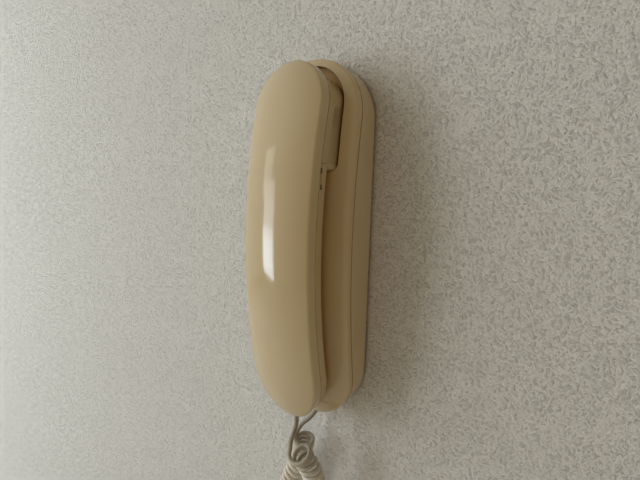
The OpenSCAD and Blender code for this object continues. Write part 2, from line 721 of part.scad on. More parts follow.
// Straight leads below each bush, from the bush outwards
handset_lead = [[0, -109.3, 30.6], [0, -112.6, 30.6], [0, -116, 30.7], [0, -119, 31.2], [-0.8, -124, 32.5],
                [-1.5, -129, 34.2]];
base_lead = [[0, -113.3, 8.5], [0, -116.5, 8.5], [-1.5, -120.5, 9.5], [-5, -125.5, 11.5],
             [-8.5, -129.5, 13.8]];
coil_steps = 8;   // rings in each curl
cord_sides = 6;
coil_r = (coil_d - cord_d) / 2;
loose_first = 1.4;  // extra radius of the first curl at the handset
loose_last = 0.6;   // extra radius of the last curl at the base
loose_curls = 1.5;  // curls over which the extra radius fades
// Point of a smooth curve through p, u counted from its second point
function spline(p, u) =
    let (k = min(floor(u), len(p) - 4), t = u - k, a = p[k], b = p[k + 1], c = p[k + 2], d = p[k + 3])
    0.5 * (2 * b + (c - a) * t + (2 * a - 5 * b + 4 * c - d) * t * t + (3 * b - a - 3 * c + d) * t * t * t);
function unit(v) = v / norm(v);
function fade(t) = t >= 1 ? 0 : 1 - t * t * (3 - 2 * t);
coil_spans = len(coil_route) - 3;
coil_count = curls * coil_steps;
function coil_point(i) =
    let (f = i / coil_count, u = f * coil_spans, e = 0.001,
         along = unit(spline(coil_route, min(u + e, coil_spans)) - spline(coil_route, max(u - e, 0))),
         back = [0, 0, -1], n = unit(back - (back * along) * along), b = cross(along, n),
         extra = f < 0.5 ? loose_first : loose_last,
         r = coil_r + extra * fade(min(f, 1 - f) * curls / loose_curls), a = 360 * f * curls)
    spline(coil_route, u) - r * (cos(a) * b + sin(a) * n);
cord_points = concat(handset_lead, [for (i = [0 : coil_count]) coil_point(i)],
                     [for (i = [len(base_lead) - 1 : -1 : 0]) base_lead[i]]);
cord_last = len(cord_points) - 1;
cord_dirs = [for (i = [0 : cord_last])
    unit(cord_points[min(i + 1, cord_last)] - cord_points[max(i - 1, 0)])];
// Side vectors carried along the cord without twist
cord_sides_dir = [for (i = 0, n = [1, 0, 0]; i <= cord_last;
    i = i + 1, n = i > cord_last ? n : unit(n - (n * cord_dirs[i]) * cord_dirs[i])) n];
cord_gap = min([for (i = [0 : cord_last - coil_steps + 3])
    min([for (j = [i + coil_steps - 3 : cord_last]) norm(cord_points[i] - cord_points[j])])]) - cord_d;
module curly_cord() color("#d8cfba") {
    echo(cord_least_gap = cord_gap);
    rings = [for (i = [0 : cord_last], k = [0 : cord_sides - 1])
        let (n = cord_sides_dir[i], b = cross(cord_dirs[i], n), a = 360 * k / cord_sides)
        cord_points[i] + cord_d / 2 * (cos(a) * n + sin(a) * b)];
    fan = [for (k = [1 : cord_sides - 2]) [0, k, k + 1]];
    shift = cord_last * cord_sides;
    polyhedron(points = rings, faces = concat(
        wall_faces(cord_sides, cord_last + 1), fan,
        [for (f = fan) [f[0] + shift, f[2] + shift, f[1] + shift]]));
}

to_wall() base_rear_cover();
to_wall() base_front_cover();
to_wall() base_screws();
to_wall() hook_plunger();
to_wall() hook_lever();
to_wall() hook_pin();
to_wall() hook_spring();
to_wall() hook_switch();
to_wall() base_board();
to_wall() base_board_screws();
to_wall() line_terminals();
to_wall() terminal_screws();
to_wall() ringer_speaker();
to_wall() rest_pads();
to_wall() base_cord_bush();
to_wall() curly_cord();
to_wall() handset_cord_bush();
to_wall() handset_outer_shell();
to_wall() handset_inner_shell();
to_wall() handset_screws();
to_wall() handset_board();
to_wall() receiver();
to_wall() receiver_gasket();
to_wall() microphone();
to_wall() microphone_boot();
to_wall() key_mat();
to_wall() handset_weight();
to_wall() slide_switch();
to_wall() slide_switch_knob();
for (i = [0 : len(KEYS) - 1])
    to_wall() key(i);
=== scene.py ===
"""Dresses the slim wall telephone: shells, keys, curly cord, finishes and a plain studio.

Shapes are worked out in the bench frame of the part's source, in millimetres: x across,
y up the phone, z out of the wall. Solid.piece() turns them to the row frame, in metres.
Outlines are counter-clockwise, and heights are above the wall unless a text says otherwise.
"""

import logging
import math
from dataclasses import dataclass, field
from enum import Enum

import bpy
from mathutils import Matrix, Vector

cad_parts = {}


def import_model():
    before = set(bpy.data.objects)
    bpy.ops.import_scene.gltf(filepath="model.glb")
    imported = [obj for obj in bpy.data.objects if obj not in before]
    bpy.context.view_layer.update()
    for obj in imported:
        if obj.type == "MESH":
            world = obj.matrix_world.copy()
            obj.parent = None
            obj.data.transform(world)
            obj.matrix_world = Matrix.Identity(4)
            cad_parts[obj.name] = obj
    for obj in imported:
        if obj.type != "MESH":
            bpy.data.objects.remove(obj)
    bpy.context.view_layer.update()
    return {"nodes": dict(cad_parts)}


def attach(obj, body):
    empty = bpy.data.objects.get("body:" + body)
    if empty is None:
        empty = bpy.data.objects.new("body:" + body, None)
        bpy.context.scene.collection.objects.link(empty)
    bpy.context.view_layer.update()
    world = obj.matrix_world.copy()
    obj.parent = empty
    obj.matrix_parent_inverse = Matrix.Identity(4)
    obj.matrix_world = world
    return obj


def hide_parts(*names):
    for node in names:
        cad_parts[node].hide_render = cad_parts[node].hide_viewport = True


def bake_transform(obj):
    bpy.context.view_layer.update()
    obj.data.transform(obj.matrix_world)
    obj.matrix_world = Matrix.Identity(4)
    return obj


LOG = logging.getLogger("wall_telephone")
MM = 0.001
# How far cutting solids reach, in millimetres: past the telephone's width and depth.
FAR = 200.0
QUARTER = math.pi / 2
# Value that a noise texture swings about.
NOISE_MEAN = 0.5
TO_ROW = Matrix(((MM, 0, 0, 0), (0, 0, -MM, 0), (0, MM, 0, 0), (0, 0, 0, 1)))

Point2 = tuple[float, float]
Point3 = tuple[float, float, float]
Color = tuple[float, float, float]
Face = tuple[int, ...]
Socket = bpy.types.NodeSocket


class Slot(Enum):
    """Names of material slots for the pieces' finishes."""

    CREAM = "cream_plastic"
    KEY = "key_plastic"
    CORD = "cord_plastic"
    BLACK = "black_plastic"
    RUBBER = "rubber"


class Cut(Enum):
    """What a second solid does to the first."""

    JOIN = "UNION"
    REMOVE = "DIFFERENCE"
    KEEP = "INTERSECT"


def placed(name: str, data: bpy.types.ID) -> bpy.types.Object:
    """Puts a mesh, curve, lamp or camera into the scene as an object.

    Args:
        name: Name of the object.
        data: What it shows.

    Returns:
        The object.
    """
    thing = bpy.data.objects.new(name, data)
    bpy.context.scene.collection.objects.link(thing)
    return thing


def as_mesh(thing: bpy.types.Object) -> bpy.types.Mesh:
    """A new mesh of an object as its modifiers or its letters make it."""
    graph = bpy.context.evaluated_depsgraph_get()
    return bpy.data.meshes.new_from_object(thing.evaluated_get(graph))


# ---- Solids ----


class Solid:
    """A closed mesh in the bench frame, in millimetres, that other solids join or cut."""

    def __init__(self, points: list[Point3], faces: list[Face]) -> None:
        """Makes the mesh.

        Args:
            points: Corners in the bench frame.
            faces: Corner numbers of each face, counter-clockwise from outside.
        """
        mesh = bpy.data.meshes.new("solid")
        mesh.from_pydata(points, [], faces)
        self.obj = placed("solid", mesh)

    def turned(self, angle: float, axis: str = "X") -> "Solid":
        """Turns the solid about an axis, by an angle in radians, and returns it."""
        self.obj.data.transform(Matrix.Rotation(angle, 4, axis))
        return self

    def moved(self, x: float, y: float, z: float = 0.0) -> "Solid":
        """Moves the solid across, up the phone and out of the wall, and returns it."""
        self.obj.data.transform(Matrix.Translation((x, y, z)))
        return self

    def _combine(self, way: Cut, others: tuple["Solid", ...]) -> "Solid":
        """Joins or cuts with other solids, which are used up.

        Args:
            way: What each of them does.
            others: The other solids.

        Returns:
            The same solid.
        """
        for other in others:
            modifier = self.obj.modifiers.new("combine", "BOOLEAN")
            modifier.operation = way.value
            modifier.solver = "MANIFOLD"
            modifier.object = other.obj
            mesh = as_mesh(self.obj)
            self.obj.modifiers.clear()
            old, self.obj.data = self.obj.data, mesh
            bpy.data.meshes.remove(old)
            other.discard()
        return self

    def join(self, *others: "Solid") -> "Solid":
        """Adds other solids to this one, and returns it."""
        return self._combine(Cut.JOIN, others)

    def cut(self, *others: "Solid") -> "Solid":
        """Takes other solids away from this one, and returns it."""
        return self._combine(Cut.REMOVE, others)

    def meet(self, *others: "Solid") -> "Solid":
        """Keeps only what this solid shares with the others, and returns it."""
        return self._combine(Cut.KEEP, others)

    def discard(self) -> None:
        """Removes the solid's object and mesh."""
        mesh = self.obj.data
        bpy.data.objects.remove(self.obj)
        bpy.data.meshes.remove(mesh)

    def piece(self, name: str, crease: float = 30.0) -> bpy.types.Object:
        """Turns the solid to the row frame and shades it smooth up to its creases.

        Args:
            name: Name of the piece.
            crease: Angle in degrees from which an edge stays sharp.

        Returns:
            The piece, in metres.
        """
        mesh = self.obj.data
        mesh.transform(TO_ROW)
        mesh.materials.clear()
        mesh.shade_smooth()
        mesh.set_sharp_from_angle(angle=math.radians(crease))
        mesh.name = self.obj.name = name
        return self.obj


def joined(solids: list[Solid]) -> Solid:
    """Joins solids that don't touch each other into one mesh.

    Args:
        solids: The solids, which are used up.

    Returns:
        One solid with all their faces.
    """
    points: list[Point3] = []
    faces: list[Face] = []
    for solid in solids:
        base = len(points)
        points += [tuple(v.co) for v in solid.obj.data.vertices]
        faces += [tuple(base + i for i in p.vertices) for p in solid.obj.data.polygons]
        solid.discard()
    return Solid(points, faces)


def walls(n: int, rings: int) -> list[Face]:
    """The faces between neighbours in a row of rings.

    Args:
        n: Points of each ring.
        rings: Number of rings.

    Returns:
        The four-sided faces.
    """
    faces: list[Face] = []
    for start in range(0, (rings - 1) * n, n):
        for i in range(n):
            a, b = start + i, start + (i + 1) % n
            faces.append((a, b, b + n, a + n))
    return faces


def stack(rings: list[list[Point3]]) -> Solid:
    """Closes a stack of rings, lowest first, each counter-clockwise as seen from above.

    Args:
        rings: Rings of equal length.

    Returns:
        The solid between the first and the last ring.
    """
    n = len(rings[0])
    last = (len(rings) - 1) * n
    ends = tuple(range(n - 1, -1, -1)), tuple(range(last, last + n))
    faces = [ends[0], *walls(n, len(rings)), ends[1]]
    return Solid([p for ring in rings for p in ring], faces)


def arc_points(
    centre: Point2, radii: Point2, start: float, steps: int, sweep: float = QUARTER
) -> list[Point2]:
    """Points along an arc, both ends included.

    Args:
        centre: Its centre.
        radii: Its radii across and up, negative where it is mirrored.
        start: Angle of its first point.
        steps: Steps along it.
        sweep: Angle that it covers.

    Returns:
        The points.
    """
    (x, y), (wide, tall) = centre, radii
    angles = [start + sweep * i / steps for i in range(steps + 1)]
    return [(x + wide * math.cos(a), y + tall * math.sin(a)) for a in angles]


def circle(radius: float, sides: int = 48) -> list[Point2]:
    """Points of a circle round the origin."""
    return arc_points((0.0, 0.0), (radius, radius), 0.0, sides, math.tau)[:-1]


def shifted(outline: list[Point2], x: float, y: float) -> list[Point2]:
    """Moves a flat outline."""
    return [(px + x, py + y) for px, py in outline]


def round_rect(width: float, height: float, corner: float, steps: int = 6) -> list[Point2]:
    """A rectangle with round corners, centred on the origin.

    Args:
        width: Its width.
        height: Its height.
        corner: Radius of its corners.
        steps: Steps round each corner.

    Returns:
        Its corners.
    """
    points: list[Point2] = []
    for quarter, (sx, sy) in enumerate(((1, 1), (-1, 1), (-1, -1), (1, -1))):
        centre = sx * (width / 2 - corner), sy * (height / 2 - corner)
        points += arc_points(centre, (corner, corner), QUARTER * quarter, steps)
    return points


def prism(outline: list[Point2], low: float, high: float) -> Solid:
    """Extrudes a flat outline out of the wall, from one height to another."""
    return stack([[(x, y, z) for x, y in outline] for z in (low, high)])


def post(radius: float, low: float, high: float, at: Point2 = (0.0, 0.0), sides: int = 48) -> Solid:
    """An upright cylinder round a place, from one height to another."""
    return prism(shifted(circle(radius, sides), *at), low, high)


def slab(width: float, height: float, low: float, high: float, at: Point2 = (0.0, 0.0)) -> Solid:
    """An upright box round a place, from one height above the wall to another."""
    x, y = width / 2, height / 2
    return prism(shifted([(x, -y), (x, y), (-x, y), (-x, -y)], *at), low, high)


def turning(profile: list[Point2], sides: int = 64) -> Solid:
    """A turned piece round the z axis, from the radius and height of each ring, lowest first."""
    return stack([[(x, y, z) for x, y in circle(r, sides)] for r, z in profile])


@dataclass(frozen=True)
class Level:
    """Height of a surface along the phone: flat, or an arc that is highest at mid length."""

    height: float
    radius: float = math.inf

    def z(self, y: float) -> float:
        """Height of the surface above the wall.

        Args:
            y: Height up the phone.

        Returns:
            The height.
        """
        if math.isinf(self.radius):
            return self.height
        return self.height - self.radius + math.sqrt(self.radius**2 - y * y)

    def over(self, x: float, y: float, rise: float) -> Point3:
        """Point at a place x, y that stands over the surface by a rise, square to it."""
        lean = y / self.radius
        return x, y + rise * lean, self.z(y) + rise * math.sqrt(1 - lean * lean)


@dataclass(frozen=True)
class Step:
    """One ring of a loft: how far it is inset, its rise over a level, and that level."""

    inset: float
    rise: float
    level: Level


@dataclass(frozen=True)
class Plan:
    """Outline with straight sides and elliptical ends."""

    half_w: float
    half_l: float
    low_reach: float
    top_reach: float
    middle: float = 0.0
    end_steps: int = 28
    side_steps: int = 44

    def ring(self, inset: float) -> list[Point2]:
        """The outline, inset on every side.

        Args:
            inset: How far it is inset.

        Returns:
            Its points, from the lower tip.
        """
        w, l = self.half_w - inset, self.half_l - inset
        low, top = self.low_reach - inset, self.top_reach - inset
        start, run = low - l, 2 * l - low - top
        side = arc_points((0, start), (w, low), -QUARTER, self.end_steps)[:-1]
        side += [(w, start + run * i / self.side_steps) for i in range(self.side_steps + 1)]
        side += arc_points((0, l - top), (w, top), 0, self.end_steps)[1:]
        side[0], side[-1] = (0.0, side[0][1]), (0.0, side[-1][1])
        return shifted(side + [(-x, y) for x, y in side[-2:0:-1]], 0, self.middle)

    def loft(self, steps: list[Step]) -> Solid:
        """A closed solid through rings of the outline, from the wall side outwards.

        Args:
            steps: The rings.

        Returns:
            The solid, its first and last ring closed by strips across.
        """
        rings = [[s.level.over(x, y, s.rise) for x, y in self.ring(s.inset)] for s in steps]
        n = len(rings[0])
        faces = walls(n, len(rings))
        last = (len(rings) - 1) * n
        for i in range(n // 2):
            strip = list(dict.fromkeys([i, i + 1, n - i - 1, (n - i) % n]))
            faces.append(tuple(reversed(strip)))
            faces.append(tuple(last + k for k in strip))
        return Solid([p for ring in rings for p in ring], faces)


@dataclass(frozen=True)
class EdgeProfile:
    """Section of a cover from its seam: a drafted side, a rounded edge and a crown."""

    side: float
    draft: float
    edge_w: float
    edge_h: float
    crown: float
    crown_power: float = 2.2
    flat: float = 0.5
    edge_steps: int = 10
    crown_steps: int = 16
    seam_chamfer: float = 0.05

    @property
    def depth(self) -> float:
        """Height of the crown's middle over the seam."""
        return self.side + self.edge_h + self.crown

    def points(self, half_w: float) -> list[Point2]:
        """Inset and rise of each ring over the side.

        Args:
            half_w: Half width of the cover at its seam.

        Returns:
            The rings from the side's top to the crown's middle strip.
        """
        slope = self.crown_power * self.crown / (half_w - self.draft - self.edge_w)
        sweep = math.atan(self.edge_h / (self.edge_w * slope))
        centre = self.draft + self.edge_w, self.side
        points = arc_points(centre, (-self.edge_w, self.edge_h), 0, self.edge_steps, sweep)
        root, shoulder = points[-1]
        for k in range(1, self.crown_steps + 1):
            across = root + (half_w - root - self.flat) * k / self.crown_steps
            fall = ((half_w - across) / (half_w - root)) ** self.crown_power
            points.append((across, shoulder + (self.depth - shoulder) * (1 - fall)))
        return points

    def cover(self, half_w: float, level: Level, gap: float, out: int) -> list[Step]:
        """Rings of the cover's outside, with a small chamfer along its seam.

        Args:
            half_w: Half width of the cover at its seam.
            level: Level of the seam.
            gap: Half of the gap that shows as the seam line.
            out: 1 where the cover rises from its seam, -1 where it goes to the wall.

        Returns:
            The rings, lowest first.
        """
        soft, lean = self.seam_chamfer, self.draft / self.side
        chamfer = [(soft + lean * gap, gap), (lean * (gap + soft), gap + soft)]
        return [Step(i, out * rise, level) for i, rise in chamfer + self.points(half_w)][::out]

    def cavity(self, half_w: float, level: Level, wall: float, over: float, out: int) -> list[Step]:
        """Rings of the space inside the cover's wall, as for cover(), to a bit over its seam."""
        rings = [(wall, -over), *shifted(self.points(half_w - wall), wall, -wall)]
        return [Step(inset, out * rise, level) for inset, rise in rings][::out]


# ---- Shader node groups ----

# Places of the factor and both colours among a Mix node's inputs, and of its colour output.
MIX_INPUTS = (0, 6, 7)
MIX_OUTPUT = 2
# Sockets that carry a colour. Position carries a vector, and every other one a number.
COLOR_SOCKETS = ("Color", "Fresh", "Aged", "Dust", "Grime", "Deep", "Dark")


class Tree:
    """Short ways to add and join the nodes of one node tree."""

    def __init__(self, tree: bpy.types.NodeTree) -> None:
        """Keeps the tree that nodes are added to."""
        self.tree = tree

    def _fed(self, node: bpy.types.Node, inputs: dict[str, object]) -> bpy.types.Node:
        """Gives a node its inputs.

        Args:
            node: The node.
            inputs: Values or sockets, by input name with _ for a space.

        Returns:
            The same node.
        """
        for name, value in inputs.items():
            self.feed(node.inputs[name.replace("_", " ")], value)
        return node

    def add(self, kind: str, **inputs: object) -> bpy.types.Node:
        """Adds a node of a type, named without ShaderNode, with its inputs."""
        return self._fed(self.tree.nodes.new("ShaderNode" + kind), inputs)

    def effect(self, group: bpy.types.NodeTree, **inputs: object) -> dict[str, Socket]:
        """Adds a shared effect.

        Args:
            group: Its node group.
            inputs: Values or sockets for its inputs, by name with _ for a space.

        Returns:
            Its outputs by name.
        """
        node = self.tree.nodes.new("ShaderNodeGroup")
        node.node_tree = group
        return {socket.name: socket for socket in self._fed(node, inputs).outputs}

    def feed(self, socket: Socket, value: object) -> None:
        """Links a socket to another, or sets its value.

        Args:
            socket: The input socket.
            value: An output socket, a number, a colour or a vector.
        """
        if isinstance(value, bpy.types.NodeSocket):
            self.tree.links.new(value, socket)
        elif isinstance(value, tuple) and socket.type == "RGBA":
            socket.default_value = (*value, 1.0)
        else:
            socket.default_value = value

    def math(self, operation: str, *values: object, clamp: bool = False) -> Socket:
        """Adds a Math node.

        Args:
            operation: Its operation.
            values: Numbers or sockets for its inputs.
            clamp: Whether its result stays from 0 to 1.

        Returns:
            Its output.
        """
        node = self.tree.nodes.new("ShaderNodeMath")
        node.operation = operation
        node.use_clamp = clamp
        for socket, value in zip(node.inputs, values):
            self.feed(socket, value)
        return node.outputs[0]

    def times(self, a: object, b: object, clamp: bool = False) -> Socket:
        """Product of two numbers or sockets."""
        return self.math("MULTIPLY", a, b, clamp=clamp)

    def plus(self, a: object, b: object, clamp: bool = False) -> Socket:
        """Sum of two numbers or sockets."""
        return self.math("ADD", a, b, clamp=clamp)

    def mix(self, factor: object, a: object, b: object) -> Socket:
        """Mixes two colours.

        Args:
            factor: Share of the second colour.
            a: First colour.
            b: Second colour.

        Returns:
            The mixed colour.
        """
        node = self.tree.nodes.new("ShaderNodeMix")
        node.data_type = "RGBA"
        for number, value in zip(MIX_INPUTS, (factor, a, b)):
            self.feed(node.inputs[number], value)
        return node.outputs[MIX_OUTPUT]

    def noise(self, vector: Socket, scale: object, detail: float, rough: float = 0.5) -> Socket:
        """Adds a noise texture and returns its value, which swings about NOISE_MEAN."""
        node = self.add("TexNoise", Vector=vector, Scale=scale, Detail=detail, Roughness=rough)
        return node.outputs["Fac"]

    def span(
        self, value: Socket, low: object, high: object, to_low: float = 0.0, to_high: float = 1.0
    ) -> Socket:
        """Maps a range of a value smoothly to another.

        Args:
            value: The value.
            low: Start of its range, a number or a socket.
            high: End of its range, a number or a socket.
            to_low: Result at the start.
            to_high: Result at the end.

        Returns:
            The mapped value.
        """
        node = self.add("MapRange")
        node.interpolation_type = "SMOOTHSTEP"
        for socket, given in zip(node.inputs, (value, low, high, to_low, to_high)):
            self.feed(socket, given)
        return node.outputs[0]

    def facing(self, axis: str) -> Socket:
        """How far the surface faces along a world axis, from -1 to 1."""
        normal = self.add("NewGeometry").outputs["Normal"]
        return self.add("SeparateXYZ", Vector=normal).outputs[axis]

    def openness(self, reach: Socket, samples: int, only_local: bool = False) -> Socket:
        """How open the space round a point is.

        Args:
            reach: Distance that is looked over.
            samples: Rays for each point.
            only_local: Whether only the piece itself counts.

        Returns:
            0 where it is closed in, up to 1 in the open.
        """
        node = self.add("AmbientOcclusion", Distance=reach)
        node.samples = samples
        node.only_local = only_local
        return node.outputs["AO"]


class Group(Tree):
    """A shader node group with named sockets."""

    def __init__(self, name: str, *takes: str) -> None:
        """Starts the group.

        Args:
            name: Its name.
            takes: Names of its inputs.
        """
        super().__init__(bpy.data.node_groups.new(name, "ShaderNodeTree"))
        for label in takes:
            self._socket(label, "INPUT")
        self.given = {s.name: s for s in self.tree.nodes.new("NodeGroupInput").outputs if s.name}

    def _socket(self, label: str, side: str) -> None:
        """Adds a socket on the INPUT or OUTPUT side, of the type that its name stands for."""
        kind = "Vector" if label == "Position" else "Color" if label in COLOR_SOCKETS else "Float"
        self.tree.interface.new_socket(label, in_out=side, socket_type="NodeSocket" + kind)

    def ended(self, **gives: Socket) -> bpy.types.NodeTree:
        """Ends the group with its outputs.

        Args:
            gives: The sockets that it puts out, by name.

        Returns:
            The group's node tree.
        """
        for label in gives:
            self._socket(label, "OUTPUT")
        self._fed(self.tree.nodes.new("NodeGroupOutput"), gives)
        return self.tree


@dataclass
class Effects:
    """The shader node groups that several finishes share, and what they are tuned to."""

    broad_grain: float = 0.05
    broad_share: float = 1.6
    patch_span: Point2 = (0.32, 0.68)
    dust_span: Point2 = (0.35, 0.95)
    fleck_scale: float = 700.0
    fleck_span: Point2 = (0.4, 0.75)
    fleck_ground: float = 0.25
    # Crevice grime, also painting the shade in seams, slots and corners.
    grime_and_shade_rays: int = 6
    grime_and_shade_span: Point2 = (0.75, 0.25)
    break_scale: float = 260.0
    break_span: Point2 = (0.3, 0.6)
    break_least: float = 0.45
    # Painted shade near other parts, and a darker painted shadow in narrow gaps.
    painted_shade_rays: int = 8
    painted_shade_span: Point2 = (0.6, 0.1)
    outward_span: Point2 = (0.7, 0.3)
    narrow_end: float = 0.04
    grain: bpy.types.NodeTree = field(init=False)
    ageing: bpy.types.NodeTree = field(init=False)
    handling: bpy.types.NodeTree = field(init=False)
    dust: bpy.types.NodeTree = field(init=False)
    grime_and_shade: bpy.types.NodeTree = field(init=False)
    painted_shade: bpy.types.NodeTree = field(init=False)

    def __post_init__(self) -> None:
        """Builds every group once."""
        self.grain = self._grain()
        self.ageing = self._ageing()
        self.handling = self._handling()
        self.dust = self._dust()
        self.grime_and_shade = self._grime_and_shade()
        self.painted_shade = self._painted_shade()

    def _grain(self) -> bpy.types.NodeTree:
        """Fine texture of a moulded surface, as a height in millimetres.

        Returns:
            The group: Position, Scale and Depth to Height.
        """
        group = Group("moulded_grain", "Position", "Scale", "Depth")
        at, scale = group.given["Position"], group.given["Scale"]
        fine = group.noise(at, scale, detail=3.0, rough=0.55)
        broad = group.noise(at, group.times(scale, self.broad_grain), detail=1.0)
        both = group.plus(fine, group.times(broad, self.broad_share))
        return group.ended(Height=group.times(both, group.given["Depth"]))

    def _ageing(self) -> bpy.types.NodeTree:
        """Uneven yellowing of an old plastic.

        Returns:
            The group: Position, Fresh, Aged, Patch scale and Amount to Color.
        """
        group = Group("uneven_ageing", "Position", "Fresh", "Aged", "Patch scale", "Amount")
        at, fresh, aged, scale, amount = group.given.values()
        patches = group.noise(at, scale, detail=4.0, rough=0.6)
        share = group.times(group.span(patches, *self.patch_span), amount)
        return group.ended(Color=group.mix(share, fresh, aged))

    def _handling(self) -> bpy.types.NodeTree:
        """Roughness that hands and cloths leave: polished fields and dull smears.

        Returns:
            The group: Position, Roughness, Spread and Scale to Roughness.
        """
        group = Group("handling_gloss", "Position", "Roughness", "Spread", "Scale")
        at, roughness, spread, scale = group.given.values()
        smears = group.noise(at, scale, detail=5.0, rough=0.62)
        smears = group.math("SUBTRACT", smears, NOISE_MEAN)
        return group.ended(Roughness=group.plus(roughness, group.times(smears, spread), clamp=True))

    def _dust(self) -> bpy.types.NodeTree:
        """Dust that settles where a surface faces up.

        Returns:
            The group: Position, Color, Dust and Amount to Color and Mask.
        """
        group = Group("settled_dust", "Position", "Color", "Dust", "Amount")
        at, color, dust, amount = group.given.values()
        flecks = group.noise(at, self.fleck_scale, detail=4.0, rough=0.7)
        flecks = group.plus(group.span(flecks, *self.fleck_span), self.fleck_ground)
        mask = group.times(group.span(group.facing("Z"), *self.dust_span), flecks)
        mask = group.times(mask, amount, clamp=True)
        return group.ended(Color=group.mix(mask, color, dust), Mask=mask)

    def _grime_and_shade(self) -> bpy.types.NodeTree:
        """Grime that gathers in a piece's own seams, slots and corners, nearly black, so it also
        paints their shade.

        Returns:
            The group: Position, Color, the colour of grime and painted shade, Reach and Amount to
                Color and Mask.
        """
        group = Group("crevice_grime_and_shade", "Position", "Color", "Grime", "Reach", "Amount")
        at, color, grime_and_shade, reach, amount = group.given.values()
        openness = group.openness(reach, self.grime_and_shade_rays, only_local=True)
        hidden = group.span(openness, *self.grime_and_shade_span)
        broken = group.noise(at, self.break_scale, detail=3.0, rough=0.6)
        broken = group.span(broken, *self.break_span, to_low=self.break_least)
        mask = group.times(group.times(hidden, broken), amount, clamp=True)
        return group.ended(Color=group.mix(mask, color, grime_and_shade), Mask=mask)

    def _painted_shade(self) -> bpy.types.NodeTree:
        """Painted shade close to other parts, but not on faces turned to the wall.

        Returns:
            The group: Color, the painted shade's colour, the painted gap shadow's colour, Reach,
                Narrow and Amount to Color and Mask. The painted shade shows where it is sheltered,
                the painted gap shadow where the openness is below Narrow.
        """
        group = Group("painted_shade_tone", "Color", "Deep", "Dark", "Reach", "Narrow", "Amount")
        color, shaded_near, dark, reach, narrow, amount = group.given.values()
        openness = group.openness(reach, self.painted_shade_rays)
        outward = group.times(group.span(group.facing("Y"), *self.outward_span), amount, clamp=True)
        mask = group.times(group.span(openness, *self.painted_shade_span), outward)
        tight = group.times(group.span(openness, narrow, self.narrow_end), outward)
        return group.ended(Color=group.mix(tight, group.mix(mask, color, shaded_near), dark), Mask=mask)


class Surface(Tree):
    """A material with a Principled shader, and short ways to give it the shared effects."""

    def __init__(self, name: str, effects: Effects) -> None:
        """Starts the material.

        Args:
            name: Its name.
            effects: The shared node groups.
        """
        self.material = bpy.data.materials.new(name)
        self.material.use_nodes = True
        super().__init__(self.material.node_tree)
        self.effects = effects
        self.shader = self.tree.nodes["Principled BSDF"]
        self.position = self.add("TexCoord").outputs["Object"]

    def shades(self, **inputs: object) -> bpy.types.Material:
        """Gives the shader its inputs, by name with _ for a space, and returns the material."""
        self._fed(self.shader, inputs)
        return self.material

    def relief(self, height: Socket, distance: float = MM) -> Socket:
        """Normal of a relief from its height, which distance turns into metres."""
        return self.add("Bump", Strength=1.0, Distance=distance, Height=height).outputs["Normal"]

    def grained(self, scale: float, depth: float) -> Socket:
        """Normal of a fine moulded grain."""
        grain = self.effect(self.effects.grain, Position=self.position, Scale=scale, Depth=depth)
        return self.relief(grain["Height"])

    def handled(self, roughness: float, spread: float, scale: float) -> Socket:
        """Roughness with the smears of handling."""
        given = {"Roughness": roughness, "Spread": spread, "Scale": scale}
        return self.effect(self.effects.handling, Position=self.position, **given)["Roughness"]

    def aged(self, fresh: Color, old: Color, scale: float, amount: float) -> Socket:
        """Colour that has turned from fresh to old in patches, by an amount at most."""
        given = {"Fresh": fresh, "Aged": old, "Patch_scale": scale, "Amount": amount}
        return self.effect(self.effects.ageing, Position=self.position, **given)["Color"]

    def dusty(self, color: Socket, dust: Color, amount: float) -> dict[str, Socket]:
        """Colour and Mask of dust settled over a colour."""
        given = {"Position": self.position, "Color": color, "Dust": dust, "Amount": amount}
        return self.effect(self.effects.dust, **given)


# ---- Finishes ----


@dataclass(frozen=True)
class MouldedPlastic:
    """Injection-moulded plastic that has yellowed, been handled and gathered dust, with grime and
    painted shade in crevices and painted shade near other parts.
    """

    name: str
    fresh: Color
    aged: Color
    roughness: float = 0.1
    spread: float = 0.06
    smear_scale: float = 38.0
    grain_scale: float = 1500.0
    grain_depth: float = 0.004
    ageing: float = 0.7
    patch_scale: float = 9.0
    dust: float = 0.1
    dust_color: Color = (0.50, 0.46, 0.38)
    # Crevice grime, nearly black, which also paints the shade in seams and slots.
    grime_and_shade: float = 0.95
    grime_and_shade_reach: float = 0.0014
    grime_and_shade_color: Color = (0.035, 0.022, 0.011)
    # Painted shade near other parts: a warm brown tone, and a dark painted shadow in narrow gaps.
    painted_shade: float = 0.85
    painted_shade_reach: float = 0.014
    narrow: float = 0.3
    near_shade_color: Color = (0.56, 0.27, 0.05)
    gap_shade_color: Color = (0.12, 0.06, 0.018)
    dulling: float = 0.45
    ior: float = 1.5

    def material(self, effects: Effects) -> bpy.types.Material:
        """Builds the material.

        Args:
            effects: The shared node groups.

        Returns:
            The material.
        """
        surface = Surface(self.name, effects)
        aged = surface.aged(self.fresh, self.aged, self.patch_scale, self.ageing)
        # Painted shade near other parts and in narrow gaps.
        shaded_near = surface.effect(
            effects.painted_shade, Color=aged, Deep=self.near_shade_color, Dark=self.gap_shade_color,
            Reach=self.painted_shade_reach, Narrow=self.narrow, Amount=self.painted_shade,
        )
        # Grime in crevices, dark enough to paint their shade as well.
        grimy_and_shaded = surface.effect(
            effects.grime_and_shade, Position=surface.position, Color=shaded_near["Color"], Grime=self.grime_and_shade_color,
            Reach=self.grime_and_shade_reach, Amount=self.grime_and_shade,
        )
        dusty = surface.dusty(grimy_and_shaded["Color"], self.dust_color, self.dust)
        gloss = surface.handled(self.roughness, self.spread, self.smear_scale)
        dulled = surface.times(surface.math("MAXIMUM", dusty["Mask"], grimy_and_shaded["Mask"]), self.dulling)
        dulled = surface.plus(dulled, shaded_near["Mask"])
        return surface.shades(
            Base_Color=dusty["Color"], Roughness=surface.plus(gloss, dulled, clamp=True),
            Normal=surface.grained(self.grain_scale, self.grain_depth), IOR=self.ior,
        )


